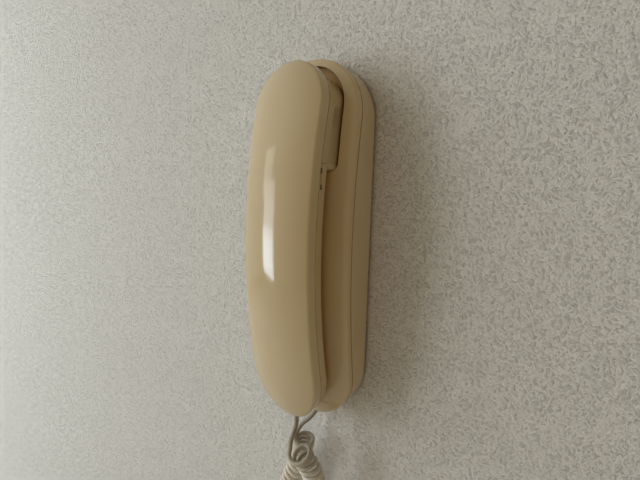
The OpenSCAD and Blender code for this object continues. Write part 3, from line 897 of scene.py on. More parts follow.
@dataclass(frozen=True)
class SoftVinyl:
    """Soft vinyl or rubber: a dull skin with rubbed streaks, grey dust, and painted shade above a
    height where the cord's leads hang under the phone.
    """

    name: str
    fresh: Color
    rubbed: Color
    rubbing: float = 0.8
    patch_scale: float = 60.0
    roughness: float = 0.5
    spread: float = 0.2
    smear_scale: float = 120.0
    grain_scale: float = 2200.0
    grain_depth: float = 0.006
    dust: float = 0.3
    dust_color: Color = (0.45, 0.42, 0.36)
    sheen: float = 0.05
    # Painted shade over the cord's leads: darker above a height under the phone.
    lead_shade: float = 0.0
    lead_shade_span: Point2 = (-0.162, -0.122)
    lead_shade_color: Color = (0.17, 0.14, 0.095)

    def material(self, effects: Effects) -> bpy.types.Material:
        """Builds the material.

        Args:
            effects: The shared node groups.

        Returns:
            The material.
        """
        surface = Surface(self.name, effects)
        rubbed = surface.aged(self.fresh, self.rubbed, self.patch_scale, self.rubbing)
        dusty = surface.dusty(rubbed, self.dust_color, self.dust)
        # Painted shade: darker above a height, where the leads hang under the phone.
        height = surface.add("SeparateXYZ", Vector=surface.position).outputs["Z"]
        painted_shadow = surface.times(surface.span(height, *self.lead_shade_span), self.lead_shade)
        return surface.shades(
            Base_Color=surface.mix(painted_shadow, dusty["Color"], self.lead_shade_color),
            Roughness=surface.handled(self.roughness, self.spread, self.smear_scale),
            Normal=surface.grained(self.grain_scale, self.grain_depth), Sheen_Weight=self.sheen,
        )


@dataclass(frozen=True)
class PlatedMetal:
    """Zinc- or nickel-plated metal with faint tarnish and draw marks."""

    name: str
    bright: Color
    tarnish: Color
    tarnishing: float = 0.8
    patch_scale: float = 220.0
    roughness: float = 0.32
    spread: float = 0.3
    smear_scale: float = 500.0
    grain_scale: float = 3000.0
    grain_depth: float = 0.003

    def material(self, effects: Effects) -> bpy.types.Material:
        """Builds the material.

        Args:
            effects: The shared node groups.

        Returns:
            The material.
        """
        surface = Surface(self.name, effects)
        return surface.shades(
            Base_Color=surface.aged(self.bright, self.tarnish, self.patch_scale, self.tarnishing),
            Roughness=surface.handled(self.roughness, self.spread, self.smear_scale),
            Normal=surface.grained(self.grain_scale, self.grain_depth), Metallic=1.0,
        )


@dataclass(frozen=True)
class BoardLacquer:
    """Solder lacquer of a circuit board over its copper tracks, with tinned joints."""

    name: str
    lacquer: Color = (0.03, 0.13, 0.055)
    track: Color = (0.06, 0.24, 0.09)
    joint: Color = (0.55, 0.56, 0.55)
    pitch: float = 2.54
    wave_share: float = 0.16
    wander: float = 9.0
    track_span: Point2 = (0.55, 0.62)
    track_height: float = 0.03
    scatter: float = 0.55
    joint_span: Point2 = (0.2, 0.16)
    joint_height: float = 0.15
    roughness: float = 0.28
    spread: float = 0.2
    smear_scale: float = 200.0

    def material(self, effects: Effects) -> bpy.types.Material:
        """Builds the material.

        Args:
            effects: The shared node groups.

        Returns:
            The material.
        """
        surface = Surface(self.name, effects)
        at, per_metre = surface.position, 1 / (self.pitch * MM)
        waves = {"Scale": per_metre * self.wave_share, "Distortion": self.wander, "Detail": 1.0}
        wave = surface.add("TexWave", Vector=at, **waves).outputs["Fac"]
        tracks = surface.span(wave, *self.track_span)
        cells = surface.add("TexVoronoi", Vector=at, Scale=per_metre, Randomness=self.scatter)
        joints = surface.span(cells.outputs["Distance"], *self.joint_span)
        laid = surface.mix(tracks, self.lacquer, self.track)
        height = surface.times(tracks, self.track_height)
        height = surface.plus(height, surface.times(joints, self.joint_height))
        return surface.shades(
            Base_Color=surface.mix(joints, laid, self.joint),
            Roughness=surface.handled(self.roughness, self.spread, self.smear_scale),
            Normal=surface.relief(height),
        )


@dataclass
class Finishes:
    """Every finish of the telephone, built once."""

    effects: Effects
    cream: bpy.types.Material = field(init=False)
    key: bpy.types.Material = field(init=False)
    ink: bpy.types.Material = field(init=False)
    cord: bpy.types.Material = field(init=False)
    grey: bpy.types.Material = field(init=False)
    black: bpy.types.Material = field(init=False)
    rubber: bpy.types.Material = field(init=False)
    steel: bpy.types.Material = field(init=False)
    board: bpy.types.Material = field(init=False)

    def __post_init__(self) -> None:
        """Builds the materials."""
        kinds = {
            "cream": MouldedPlastic("cream_housing", (0.468, 0.373, 0.226), (0.44, 0.33, 0.18)),
            "key": MouldedPlastic(
                "pale_key_caps", (0.60, 0.53, 0.40), (0.54, 0.45, 0.31), roughness=0.3, grime_and_shade=0.4
            ),
            "ink": MouldedPlastic(
                "key_ink", (0.05, 0.04, 0.03), (0.08, 0.06, 0.045), roughness=0.4, grime_and_shade=0.0
            ),
            "grey": MouldedPlastic(
                "grey_moulding", (0.24, 0.24, 0.23), (0.20, 0.195, 0.18), roughness=0.42, ageing=0.5
            ),
            "black": MouldedPlastic(
                "black_moulding", (0.022, 0.021, 0.02), (0.035, 0.032, 0.029),
                roughness=0.38, ageing=0.5,
            ),
            # The cord's leads get painted shade above a height.
            "cord": SoftVinyl("cord_vinyl", (0.615, 0.572, 0.485), (0.58, 0.52, 0.42), lead_shade=0.85),
            "rubber": SoftVinyl(
                "soft_rubber", (0.05, 0.047, 0.043), (0.075, 0.07, 0.064), roughness=0.62
            ),
            "steel": PlatedMetal("plated_steel", (0.62, 0.62, 0.61), (0.47, 0.45, 0.41)),
            "board": BoardLacquer("board_lacquer"),
        }
        for name, finish in kinds.items():
            setattr(self, name, finish.material(self.effects))


def dress(piece: bpy.types.Object, material: bpy.types.Material) -> None:
    """Gives a piece one material."""
    piece.data.materials.clear()
    piece.data.materials.append(material)


def settle(
    piece: bpy.types.Object, material: bpy.types.Material, slot: Slot, body: str, *nodes: str
) -> None:
    """Dresses a piece, makes it ride a body and stand for CAD nodes.

    Args:
        piece: The piece.
        material: Its material.
        slot: The slot of its finish; not used.
        body: The body it rides.
        nodes: The CAD nodes it stands for.
    """
    dress(piece, material)
    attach(piece, body)
    if nodes:
        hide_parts(*nodes)
    LOG.info("%s on %s, %d faces", piece.name, body, len(piece.data.polygons))


# ---- The telephone ----


@dataclass(frozen=True)
class EarWell:
    """The well in the base that takes the receiver block."""

    width: float = 50.4
    low: float = 47.4
    top: float = 108.0
    floor: float = 12.0
    corner: float = 5.0
    corner_steps: int = 8
    side_steps: int = 12
    end_steps: int = 40

    def outline(self, grow: float = 0.0) -> list[Point2]:
        """Outline of the well: a round upper end and a sill with small corners.

        Args:
            grow: How far the outline is grown on every side.

        Returns:
            Its points.
        """
        r, corner = self.width / 2 + grow, self.corner + grow
        start, centre = self.low - grow + corner, self.top - self.width / 2
        points: list[Point2] = []
        for side, angle in ((-1, math.pi), (1, math.pi + QUARTER)):
            middle = side * (r - corner), start
            points += arc_points(middle, (corner, corner), angle, self.corner_steps)
        rise = (centre - start) / self.side_steps
        heights = [start + rise * i for i in range(1, self.side_steps)]
        points += [(r, y) for y in heights]
        points += arc_points((0, centre), (r, r), 0, self.end_steps, math.pi)
        return points + [(-r, y) for y in reversed(heights)]


@dataclass(frozen=True)
class CordBush:
    """A rubber bush that grips the cord where it enters a housing."""

    radius: float = 3.2
    flange_r: float = 4.1
    flange_t: float = 1.4
    length: float = 7.0
    seat: float = 4.1
    bore_r: float = 1.75
    lip: float = 0.5
    lip_shoulder: float = 0.15

    def _laid(self, solid: Solid, y: float, z: float) -> Solid:
        """Lays an upright solid along the phone, its lower end at a place."""
        return solid.turned(-QUARTER).moved(0, y, z)

    def room(self, clearance: float, y: float, z: float) -> list[Solid]:
        """Space that the bush takes in its housing.

        Args:
            clearance: Room round it.
            y: Height of its outer end up the phone.
            z: Height of its axis above the wall.

        Returns:
            A cylinder for its stem and one for its flange.
        """
        low, rim = self.seat - clearance, self.seat + self.flange_t + clearance
        stem = post(self.radius + clearance, -clearance, self.length + clearance)
        return [self._laid(s, y, z) for s in (stem, post(self.flange_r + clearance, low, rim))]

    def piece(self, name: str, y: float, z: float) -> bpy.types.Object:
        """The bush, its outer lip rounded down to the cord.

        Args:
            name: Name of the piece.
            y: Height of its outer end up the phone.
            z: Height of its axis above the wall.

        Returns:
            The piece.
        """
        r, rim, soft = self.radius, self.seat + self.flange_t, self.lip_shoulder
        profile = [
            (self.bore_r, 0.0), (r - self.lip, 0.0), (r - soft, soft), (r, self.lip),
            (r, self.seat), (self.flange_r, self.seat), (self.flange_r, rim), (r, rim),
            (r, self.length),
        ]
        return self._laid(turning(profile), y, z).piece(name)


@dataclass
class Handset:
    """The handset: two shells, a receiver block, sound holes, screw recesses and a bush."""

    well: EarWell
    bush: CordBush
    length: float = 217.8
    width: float = 50.0
    top_reach: float = 26.0
    low_reach: float = 32.0
    end_lean: float = 0.8
    middle: float = -0.3
    arc: float = 370.0
    seam: float = 47.0
    wall: float = 2.0
    seam_gap: float = 0.46
    seam_over: float = 1.0
    seam_soft: float = 0.05
    fit: float = 0.2
    gap: float = 0.3
    outer: EdgeProfile = EdgeProfile(4.3, 0.5, 2.4, 2.1, 4.0)
    inner: EdgeProfile = EdgeProfile(5.4, 0.5, 2.6, 2.4, 1.4)
    block_w: float = 49.8
    block_low: float = 47.7
    block_top: float = 101.5
    block_reach: float = 19.0
    block_back: float = 15.0
    block_draft: float = 2.0
    block_edge: float = 4.0
    block_edge_steps: int = 6
    block_corner_steps: int = 10
    ledge: float = 1.4
    ledge_low: float = 72.0
    ledge_beyond: float = 2.0
    receiver_y: float = 78.0
    receiver_r: float = 16.0
    receiver_seat: float = 6.3
    receiver_wall: float = 1.6
    grille_ring: float = 5.0
    grille_rings: tuple[int, ...] = (1, 2)
    grille_first: int = 6
    grille_r: float = 0.9
    grille_sides: int = 20
    mic_up: float = 23.0
    mic_pitch: float = 3.0
    boot_r: float = 7.6
    boot_sink: float = 0.4
    hole_beyond: float = 0.5
    mic_hole_beyond: float = 1.4
    bush_out: float = 0.4
    screw_ys: tuple[float, float] = (26.0, -63.9)
    screw_tip: float = 1.0
    boss_r: float = 3.8
    screw_hole_r: float = 1.4
    head_r: float = 2.5
    head_seat: float = 2.4
    weight_y: float = -14.0
    weight_l: float = 50.0
    weight_top: float = 52.8
    weight_post_r: float = 2.5
    slide_y: float = 43.6
    slide_slot: float = 12.0
    slide_slot_w: float = 1.8
    slide_under_seam: float = 0.5
    # A thin black sleeve in the switch slot: a dark sheet that paints the shade inside it.
    shade_sheet_t: float = 0.1
    shade_sheet_depth: float = 2.4
    shade_sheet_in: float = 0.25
    shade_sheet_fit: float = 0.01
    mark_up: float = 8.5
    mark_w: float = 0.45
    mark_depth: float = 0.2

    @property
    def level(self) -> Level:
        """Level of the seam."""
        return Level(self.seam, self.arc)

    @property
    def plan(self) -> Plan:
        """Outline of both shells at the seam."""
        half_l = self.length / 2 - self.end_lean
        return Plan(self.width / 2, half_l, self.low_reach, self.top_reach, self.middle)

    @property
    def slot_span(self) -> Point2:
        """Lower and upper height of the slide switch's slot above the wall."""
        high = self.level.z(self.slide_y) - self.slide_under_seam
        return high - self.slide_slot_w, high

    @property
    def block_plan(self) -> Plan:
        """Outline of the receiver block at the seam, of which only the upper end is used."""
        top = self.block_top + self.block_draft
        return Plan(self.block_w / 2, top, self.block_reach, self.block_reach)

    @property
    def mic_y(self) -> float:
        """Height of the microphone up the handset."""
        return self.mic_up - self.length / 2

    @property
    def bush_place(self) -> Point2:
        """Height of the cord bush's outer end, and of its axis above the wall."""
        return -self.length / 2 - self.bush_out, self.level.z(self.length / 2)

    def face_z(self, y: float) -> float:
        """Height of the middle of the inner face above the wall."""
        return self.level.z(y) - self.inner.depth

    def on_arc(self, solid: Solid, y: float) -> Solid:
        """Moves a solid from the origin to the seam, square to its arc."""
        return solid.turned(math.asin(-y / self.arc)).moved(0, y, self.level.z(y))

    def outer_shell(self) -> bpy.types.Object:
        """The front shell, with its bosses under the crown.

        Returns:
            The piece.
        """
        half, bosses = self.width / 2, [(0, y) for y in self.screw_ys]
        body = self.plan.loft(self.outer.cover(half, self.level, self.seam_gap / 2, 1))
        space = self.plan.loft(self.outer.cavity(half, self.level, self.wall, self.seam_over, 1))
        space.cut(*[post(self.boss_r, self.level.z(at[1]), FAR / 2, at) for at in bosses])
        for end in (-1, 1):
            at = (0, self.weight_y + end * self.weight_l / 3)
            space.cut(post(self.weight_post_r, self.weight_top, FAR / 2, at))
        body.cut(space)
        pilot = self.outer.depth - self.wall - self.screw_tip
        body.cut(*[post(self.screw_hole_r, 0, self.level.z(at[1]) + pilot, at) for at in bosses])
        body.cut(*self.bush.room(self.fit, *self.bush_place))
        return body.piece("handset_front")

    def _grip(self, wall: float) -> Solid:
        """Inner shell's grip, or the space inside it.

        Args:
            wall: 0 for the grip, or the wall round its space.

        Returns:
            The solid.
        """
        half = self.width / 2
        if wall:
            return self.plan.loft(self.inner.cavity(half, self.level, wall, self.seam_over, -1))
        return self.plan.loft(self.inner.cover(half, self.level, self.seam_gap / 2, -1))

    def _block(self, wall: float) -> Solid:
        """Receiver block, or the space inside it.

        Args:
            wall: 0 for the block, or the wall round its space.

        Returns:
            The solid.
        """
        edge = self.block_edge
        centre = self.block_draft + edge + wall, self.block_back + edge + wall
        edges = arc_points(centre, (-edge, edge), -QUARTER, self.block_edge_steps)
        steps = [Step(inset, 0, Level(height)) for inset, height in edges]
        rise = self.seam_over if wall else -self.seam_gap
        steps.append(Step(wall + self.seam_soft, rise, self.level))
        width, corner = self.well.width - 2 * (self.gap + wall), self.well.corner - self.gap - wall
        window = round_rect(width, FAR, corner, self.block_corner_steps)
        window = shifted(window, 0, self.block_low + wall + FAR / 2)
        return self.block_plan.loft(steps).meet(prism(window, 0, FAR / 2))

    def _overhang(self, wall: float) -> Solid:
        """Room round the block's upper end, over which the front shell stands out.

        Args:
            wall: 0 for the room, or the wall between it and the space inside.

        Returns:
            The solid.
        """
        past, low = self.ledge_beyond, Level(-self.ledge_beyond / 2)
        room = self.plan.loft([Step(-past, 0, low), Step(-past, wall - self.ledge, self.level)])
        room.cut(prism(self.block_plan.ring(wall), -past, FAR / 2))
        return room.cut(slab(FAR, FAR, -past, FAR / 2, (0, self.ledge_low - FAR / 2)))

    def _seats(self, keypad: "Keypad") -> list[Solid]:
        """Seats and bosses that stay inside the inner shell.

        Args:
            keypad: The keypad, which gives its own seat.

        Returns:
            The solids.
        """
        at, bore = (0, self.receiver_y), self.receiver_r + self.fit
        floor = self.block_back + self.wall
        ring = post(bore + self.receiver_wall, 0, floor + self.receiver_seat, at)
        ring.cut(post(bore, floor, FAR, at))
        bosses = [post(self.boss_r, 0, self.level.z(y) - self.gap, (0, y)) for y in self.screw_ys]
        mic = post(self.boot_r, -FAR / 4, self.wall + self.boot_sink - self.inner.depth)
        return [keypad.seat(), *bosses, ring, self.on_arc(mic, self.mic_y)]

    def _sound_hole(self, low: float, high: float, x: float, y: float) -> Solid:
        """A round hole to hear or speak through."""
        return post(self.grille_r, low, high, (x, y), self.grille_sides)

    def _holes(self, keypad: "Keypad") -> list[Solid]:
        """Everything that is cut from the inner shell from outside.

        Args:
            keypad: The keypad, which gives its own holes.

        Returns:
            The solids.
        """
        holes = [keypad.holes(self.fit)]
        for y in self.screw_ys:
            holes.append(post(self.screw_hole_r, 0, FAR, (0, y)))
            holes.append(post(self.head_r + self.fit, 0, self.face_z(y) + self.head_seat, (0, y)))
        top = self.block_back + self.wall + self.hole_beyond
        places = [(0.0, 0.0)]
        for ring in self.grille_rings:
            places += circle(self.grille_ring * ring, self.grille_first * ring)
        holes.append(joined([self._sound_hole(0, top, x, self.receiver_y + y) for x, y in places]))
        top = self.wall + self.mic_hole_beyond - self.inner.depth
        row = [self._sound_hole(-FAR / 4, top, x * self.mic_pitch, 0) for x in (-1, 0, 1)]
        return [*holes, self.on_arc(joined(row), self.mic_y)]

    def _side_marks(self) -> list[Solid]:
        """Slot of the slide switch, and the mark beside it.

        Returns:
            The solids to cut.
        """
        x, y, draft = self.width / 2, self.slide_y + self.mark_up, self.inner.draft
        slot = slab(2 * (self.wall + draft), self.slide_slot, *self.slot_span, (x, self.slide_y))
        z, depth = self.level.z(y), 2 * (draft + self.mark_depth)
        return [slot, slab(depth, self.mark_w, z - self.inner.side, z, (x, y))]

    def slot_shade_sheet(self) -> bpy.types.Object:
        """A black sleeve that lines the slide switch's slot just under the skin, a dark sheet that
        paints the shade inside the slot.

        Returns:
            The piece.
        """
        depth, fit, thin = self.shade_sheet_depth, self.shade_sheet_fit, self.shade_sheet_t
        at = (self.width / 2 - self.shade_sheet_in - depth / 2, self.slide_y)
        low, high = self.slot_span
        shade_sleeve = slab(depth, self.slide_slot - 2 * fit, low + fit, high - fit, at)
        shade_sleeve.cut(slab(2 * depth, self.slide_slot - 2 * thin, low + thin, high - thin, at))
        return shade_sleeve.piece("slide_slot_shade_sheet")

    def inner_shell(self, keypad: "Keypad") -> bpy.types.Object:
        """The shell towards the wall, with the receiver block.

        Args:
            keypad: The keypad, for its seat and holes.

        Returns:
            The piece.
        """
        body, space = [
            self._grip(wall).cut(self._overhang(wall)).join(self._block(wall))
            for wall in (0, self.wall)
        ]
        space.cut(*self._seats(keypad))
        body.cut(space, *self._holes(keypad), *self._side_marks())
        body.cut(*self.bush.room(self.fit, *self.bush_place))
        return body.piece("handset_back")

    def build(self, finishes: Finishes, keypad: "Keypad") -> None:
        """Builds and dresses the shells, the black sleeve of painted shade in the slot, and the
        bush.

        Args:
            finishes: The materials.
            keypad: The keypad, for its seat and holes.
        """
        shells = {
            "handset_outer_shell": self.outer_shell(),
            "handset_inner_shell": self.inner_shell(keypad),
        }
        for node, shell in shells.items():
            settle(shell, finishes.cream, Slot.CREAM, "handset", node)
        # The black sleeve paints the shade inside the slot.
        settle(self.slot_shade_sheet(), finishes.black, Slot.BLACK, "handset")
        bush = self.bush.piece("handset_bush", *self.bush_place)
        settle(bush, finishes.cord, Slot.CORD, "handset", "handset_cord_bush")


@dataclass
class Keypad:
    """Twelve keys on the handset's inner face, with their seat, holes and figures."""

    face: Level = Level(37.8, 370.0)
    key_w: float = 9.4
    key_h: float = 7.0
    pitch_x: float = 12.4
    pitch_y: float = 10.4
    centre_y: float = -12.0
    proud: float = 1.6
    corner: float = 1.6
    cap_corner: float = 1.4
    least_corner: float = 0.5
    seat_z: float = 40.8
    seat_room: float = 0.2
    rim: float = 3.0
    flange_t: float = 1.0
    flange_lip: float = 0.7
    cap_round: float = 0.7
    round_steps: int = 4
    # Inset and depth of the rings that make the dish in a key's top, from its middle outwards.
    dish: tuple[Point2, ...] = ((2.6, 0.06), (1.7, 0.042), (1.0, 0.009))
    crease: float = 50.0
    figure_h: float = 6.21
    figure_t: float = 0.03
    figure_sink: float = 0.005
    figure_steps: int = 6
    columns: int = 3
    rows: int = 4
    signs: str = "123456789*0#"

    def place(self, i: int) -> Point2:
        """Centre of a key, counted from the upper left as the user sees them."""
        x = ((self.columns - 1) / 2 - i % self.columns) * self.pitch_x
        return x, self.centre_y + ((self.rows - 1) / 2 - i // self.columns) * self.pitch_y

    def node(self, i: int) -> str:
        """Name of a key's node and body."""
        return "key_" + {"*": "star", "#": "hash"}.get(self.signs[i], self.signs[i])

    def seat(self) -> Solid:
        """Flat seat for the key flanges inside the shell.

        Returns:
            The solid.
        """
        width = (self.columns - 1) * self.pitch_x + self.key_w + 2 * self.rim
        height = (self.rows - 1) * self.pitch_y + self.key_h + 2 * self.rim
        return slab(width, height, 0, self.seat_z, (0, self.centre_y))

    def holes(self, fit: float) -> Solid:
        """All the holes that the key caps pass.

        Args:
            fit: Clearance round each cap.

        Returns:
            One solid of all the holes.
        """
        outline = round_rect(self.key_w + 2 * fit, self.key_h + 2 * fit, self.corner)
        places = [self.place(i) for i in range(len(self.signs))]
        return joined([prism(shifted(outline, *at), 0, FAR) for at in places])

    def _ring(self, inset: float, z: float) -> list[Point3]:
        """One ring of a cap.

        Args:
            inset: How far it is inset from the cap's sides.
            z: Its height above the wall.

        Returns:
            Its points, round the origin.
        """
        corner = max(self.cap_corner - inset, self.least_corner)
        outline = round_rect(self.key_w - 2 * inset, self.key_h - 2 * inset, corner)
        return [(x, y, z) for x, y in outline]

    def cap(self, i: int) -> Solid:
        """One key: a cap with a rounded, slightly dished top and a flange behind it.

        Args:
            i: Number of the key.

        Returns:
            The solid.
        """
        x, y = self.place(i)
        face, seat, soft = self.face.z(y) - self.proud, self.seat_z + self.seat_room, self.cap_round
        rings = [self._ring(inset, face + sink) for inset, sink in self.dish]
        edge = arc_points((soft, face + soft), (-soft, soft), -QUARTER, self.round_steps)
        rings += [self._ring(inset, z) for inset, z in edge]
        rings.append(self._ring(0, seat))
        lip = 2 * self.flange_lip
        wide = round_rect(self.key_w + lip, self.key_h + lip, self.corner)
        rings += [[(px, py, z) for px, py in wide] for z in (seat, seat + self.flange_t)]
        return stack(rings).moved(x, y)

    def figure(self, i: int) -> bpy.types.Object:
        """The printed figure on a key.

        Args:
            i: Number of the key.

        Returns:
            The figure, a thin mesh on the cap.
        """
        curve = bpy.data.curves.new("figure", "FONT")
        curve.body = self.signs[i]
        curve.size = self.figure_h * MM
        curve.align_x, curve.align_y = "CENTER", "CENTER"
        curve.extrude = self.figure_t * MM
        curve.resolution_u = self.figure_steps
        text = placed("figure", curve)
        mesh = as_mesh(text)
        bpy.data.objects.remove(text)
        bpy.data.curves.remove(curve)
        x, y = self.place(i)
        depth = (self.face.z(y) - self.proud - self.figure_sink) * MM
        spans = [[v.co[k] for v in mesh.vertices] for k in (0, 1)]
        middle = [-(min(span) + max(span)) / 2 for span in spans]
        mesh.transform(Matrix.Translation((*middle, 0)))
        rows = (-1, 0, 0, x * MM), (0, 0, 1, -depth), (0, 1, 0, y * MM), (0, 0, 0, 1)
        mesh.transform(Matrix(rows))
        return placed(f"{self.node(i)}_figure", mesh)

    def build(self, finishes: Finishes) -> None:
        """Builds and dresses every key and its figure.

        Args:
            finishes: The materials.
        """
        for i in range(len(self.signs)):
            node = self.node(i)
            cap = self.cap(i).piece(f"{node}_cap", self.crease)
            settle(cap, finishes.key, Slot.KEY, node, node)
            settle(self.figure(i), finishes.ink, Slot.BLACK, node)


@dataclass
class Base:
    """The wall base: front and rear covers, ear well, plunger, pads and bush."""

    well: EarWell
    bush: CordBush
    length: float = 227.0
    width: float = 70.0
    end_lean: float = 0.9
    middle: float = -0.8
    arc: float = 518.0
    seam: float = 25.2
    wall: float = 2.2
    seam_gap: float = 0.9
    seam_over: float = 1.0
    seam_soft: float = 0.05
    seam_lean: float = 0.1
    fit: float = 0.2
    past: float = 1.0
    rear_draft: float = 1.6
    foot_in: float = 1.7
    foot_t: float = 3.0
    foot_soft: float = 0.25
    front: EdgeProfile = EdgeProfile(3.0, 0.25, 1.7, 1.3, 2.1)
    join_z: float = 8.0
    join_gap: float = 0.1
    join_in: float = 0.6
    pilot: float = 6.0
    boss_r: float = 3.6
    screw_hole_r: float = 1.4
    head_r: float = 2.5
    head_seat: float = 3.4
    screws: tuple[Point2, ...] = ((0.0, -100.0), (-26.5, 35.0), (26.5, 35.0))
    plunger_y: float = 58.0
    plunger_r: float = 3.7
    plunger_tip: float = 14.7
    plunger_base: float = 4.6
    plunger_flange: float = 1.5
    plunger_flange_t: float = 1.0
    plunger_soft: float = 0.8
    plunger_soft_steps: int = 5
    plunger_top_r: float = 0.4
    speaker_y: float = -75.0
    speaker_r: float = 17.0
    speaker_wall: float = 1.6
    speaker_sink: float = 5.2
    slot_w: float = 1.6
    slot_l: float = 16.0
    slot_round: float = 0.79
    slot_pitch: float = 4.0
    slots: range = range(-2, 3)
    pad_r: float = 4.0
    pad_sides: int = 40
    pad_soft: float = 0.5
    pad_soft_steps: int = 4
    pad_x: float = 9.0
    pad_y: float = -91.9
    pad_pocket: float = 0.8
    pad_short: float = 0.3
    board_y: float = -44.0
    board_z: float = 5.2
    board_post: Point2 = (20.0, 14.0)
    board_post_r: float = 3.0
    board_hole_r: float = 1.0
    fix_y: float = -29.75
    fix_pitch: float = 83.5
    fix_r: float = 2.25
    fix_rim: float = 2.6
    window: Point2 = (20.0, 14.0)
    window_y: float = -13.0
    lever_y: float = 32.0
    lever_z: float = 5.4
    ear_x: float = 5.8
    ear_t: float = 2.0
    ear_h: float = 6.8
    ear_over: float = 1.2
    pin_r: float = 1.0
    bush_in: float = 0.2
    bush_under: float = 0.7

    @property
    def level(self) -> Level:
        """Level of the seam."""
        return Level(self.seam, self.arc)

    @property
    def plan(self) -> Plan:
        """Outline of the base at its seam."""
        half = self.width / 2
        return Plan(half, self.length / 2 - self.end_lean, half, half, self.middle)

    @property
    def bush_place(self) -> Point2:
        """Height of the cord bush's outer end, and of its axis above the wall."""
        z = self.level.z(self.length / 2) - self.bush.radius - self.fit - self.bush_under
        return self.bush_in - self.length / 2, z

    def face_z(self, y: float) -> float:
        """Height of the middle of the front face above the wall."""
        return self.level.z(y) + self.front.depth

    def _at_pads(self, solids: list[Solid], tilt: float) -> list[Solid]:
        """Moves two solids from the origin to the tilted seats of the pads, and returns them."""
        y, z = self.pad_y, self.face_z(self.pad_y) - self.pad_pocket
        return [s.turned(tilt).moved(x, y, z) for s, x in zip(solids, (-self.pad_x, self.pad_x))]

    def _front_stock(self) -> Solid:
        """Walls of the ear well, sounder ring and bosses inside the front cover.

        Returns:
            The solid, cut to the cover's inside.
        """
        half, middle = self.width / 2, self.wall / 2
        limit = [Step(self.wall + self.join_in, 0, Level(self.join_z))]
        inside = shifted(self.front.points(half - middle), middle, -middle)
        limit += [Step(inset, rise, self.level) for inset, rise in inside]
        speaker, bore = (0.0, self.speaker_y), self.speaker_r + self.fit
        low = self.face_z(self.speaker_y - self.speaker_r) - self.wall - self.speaker_sink
        ring = post(bore + self.speaker_wall, low, FAR / 2, speaker)
        ring.cut(post(bore, 0, FAR, speaker))
        well = prism(self.well.outline(self.wall), self.well.floor - self.wall, FAR / 2)
        stock = joined([well, ring])
        stock.join(*[post(self.boss_r, self.join_z, FAR / 2, at) for at in self.screws])
        return stock.meet(self.plan.loft(limit))

    def front_cover(self, tilt: float) -> bpy.types.Object:
        """The front cover, with the ear well, bosses and sound slots.

        Args:
            tilt: Tilt of the rest pads.

        Returns:
            The piece.
        """
        half, pilot = self.width / 2, self.join_z + self.pilot
        body = self.plan.loft(self.front.cover(half, self.level, self.seam_gap / 2, 1))
        body.cut(self.plan.loft(self.front.cavity(half, self.level, self.wall, self.seam_over, 1)))
        body.join(self._front_stock())
        body.cut(prism(self.well.outline(), self.well.floor, FAR / 2))
        body.cut(post(self.plunger_r + 2 * self.fit, 0, FAR / 4, (0, self.plunger_y)))
        body.cut(*[post(self.screw_hole_r, 0, pilot, at) for at in self.screws])
        body.cut(*self._at_pads([post(self.pad_r + self.fit, 0, FAR / 4) for _ in range(2)], tilt))
        slot = round_rect(self.slot_l, self.slot_w, self.slot_round)
        rows = [shifted(slot, 0, self.speaker_y + k * self.slot_pitch) for k in self.slots]
        body.cut(joined([prism(row, 0, FAR / 4) for row in rows]))
        return body.piece("base_front")

    def rear_cover(self) -> bpy.types.Object:
        """The rear cover, with its bosses, posts, ears and wall fixing.

        Returns:
            The piece.
        """
        draft, wall, soft = self.rear_draft, self.wall, self.seam_soft
        inside = wall / 2
        body = prism(self.plan.ring(draft + self.foot_in), 0, self.foot_t + inside)
        body.join(self.plan.loft([
            Step(draft + self.foot_soft, 0, Level(self.foot_t)),
            Step(draft, 0, Level(self.foot_t + self.foot_soft)),
            Step(soft * self.seam_lean, -self.seam_gap / 2 - soft, self.level),
            Step(soft, -self.seam_gap / 2, self.level),
        ]))
        body.cut(self.plan.loft([
            Step(draft + wall, 0, Level(wall)), Step(wall, self.seam_over, self.level),
        ]))
        posts = [
            (x * self.board_post[0], self.board_y + y * self.board_post[1])
            for x in (-1, 1) for y in (-1, 1)
        ]
        ears = [(x, self.lever_y) for x in (-self.ear_x, self.ear_x)]
        fixings = [(0, self.fix_y + end * self.fix_pitch / 2) for end in (-1, 1)]
        ear_top = self.lever_z + self.pin_r + self.ear_over
        body.join(
            *[post(self.boss_r, inside, self.join_z - self.join_gap, at) for at in self.screws],
            *[post(self.board_post_r, inside, self.board_z, at) for at in posts],
            *[slab(self.ear_t, self.ear_h, inside, ear_top, at) for at in ears],
            *[post(self.fix_r + self.fix_rim, inside, wall + self.past, at) for at in fixings],
        )
        for at in self.screws:
            body.cut(post(self.screw_hole_r, -self.past, FAR, at))
            body.cut(post(self.head_r + self.fit, -self.past, self.head_seat, at))
        body.cut(*[post(self.board_hole_r, wall, FAR, at) for at in posts])
        reach = self.ear_x + self.ear_t
        pin = post(self.pin_r, -reach, reach).turned(QUARTER, "Y")
        body.cut(pin.moved(0, self.lever_y, self.lever_z))
        body.cut(*[post(self.fix_r, -self.past, FAR, at) for at in fixings])
        body.cut(slab(*self.window, -self.past, wall + self.past, (0, self.window_y)))
        body.cut(*self.bush.room(self.fit, *self.bush_place))
        return body.piece("base_rear")

    def plunger(self) -> bpy.types.Object:
        """The hook plunger, with a rounded tip and a flange.

        Returns:
            The piece.
        """
        r, tip, soft, base = self.plunger_r, self.plunger_tip, self.plunger_soft, self.plunger_base
        top, rim = base + self.plunger_flange_t, r + self.plunger_flange
        profile = [(rim, base), (rim, top), (r, top)]
        profile += arc_points((r - soft, tip - soft), (soft, soft), 0, self.plunger_soft_steps)
        profile.append((self.plunger_top_r, tip))
        return turning(profile).moved(0, self.plunger_y).piece("hook_plunger_tip")

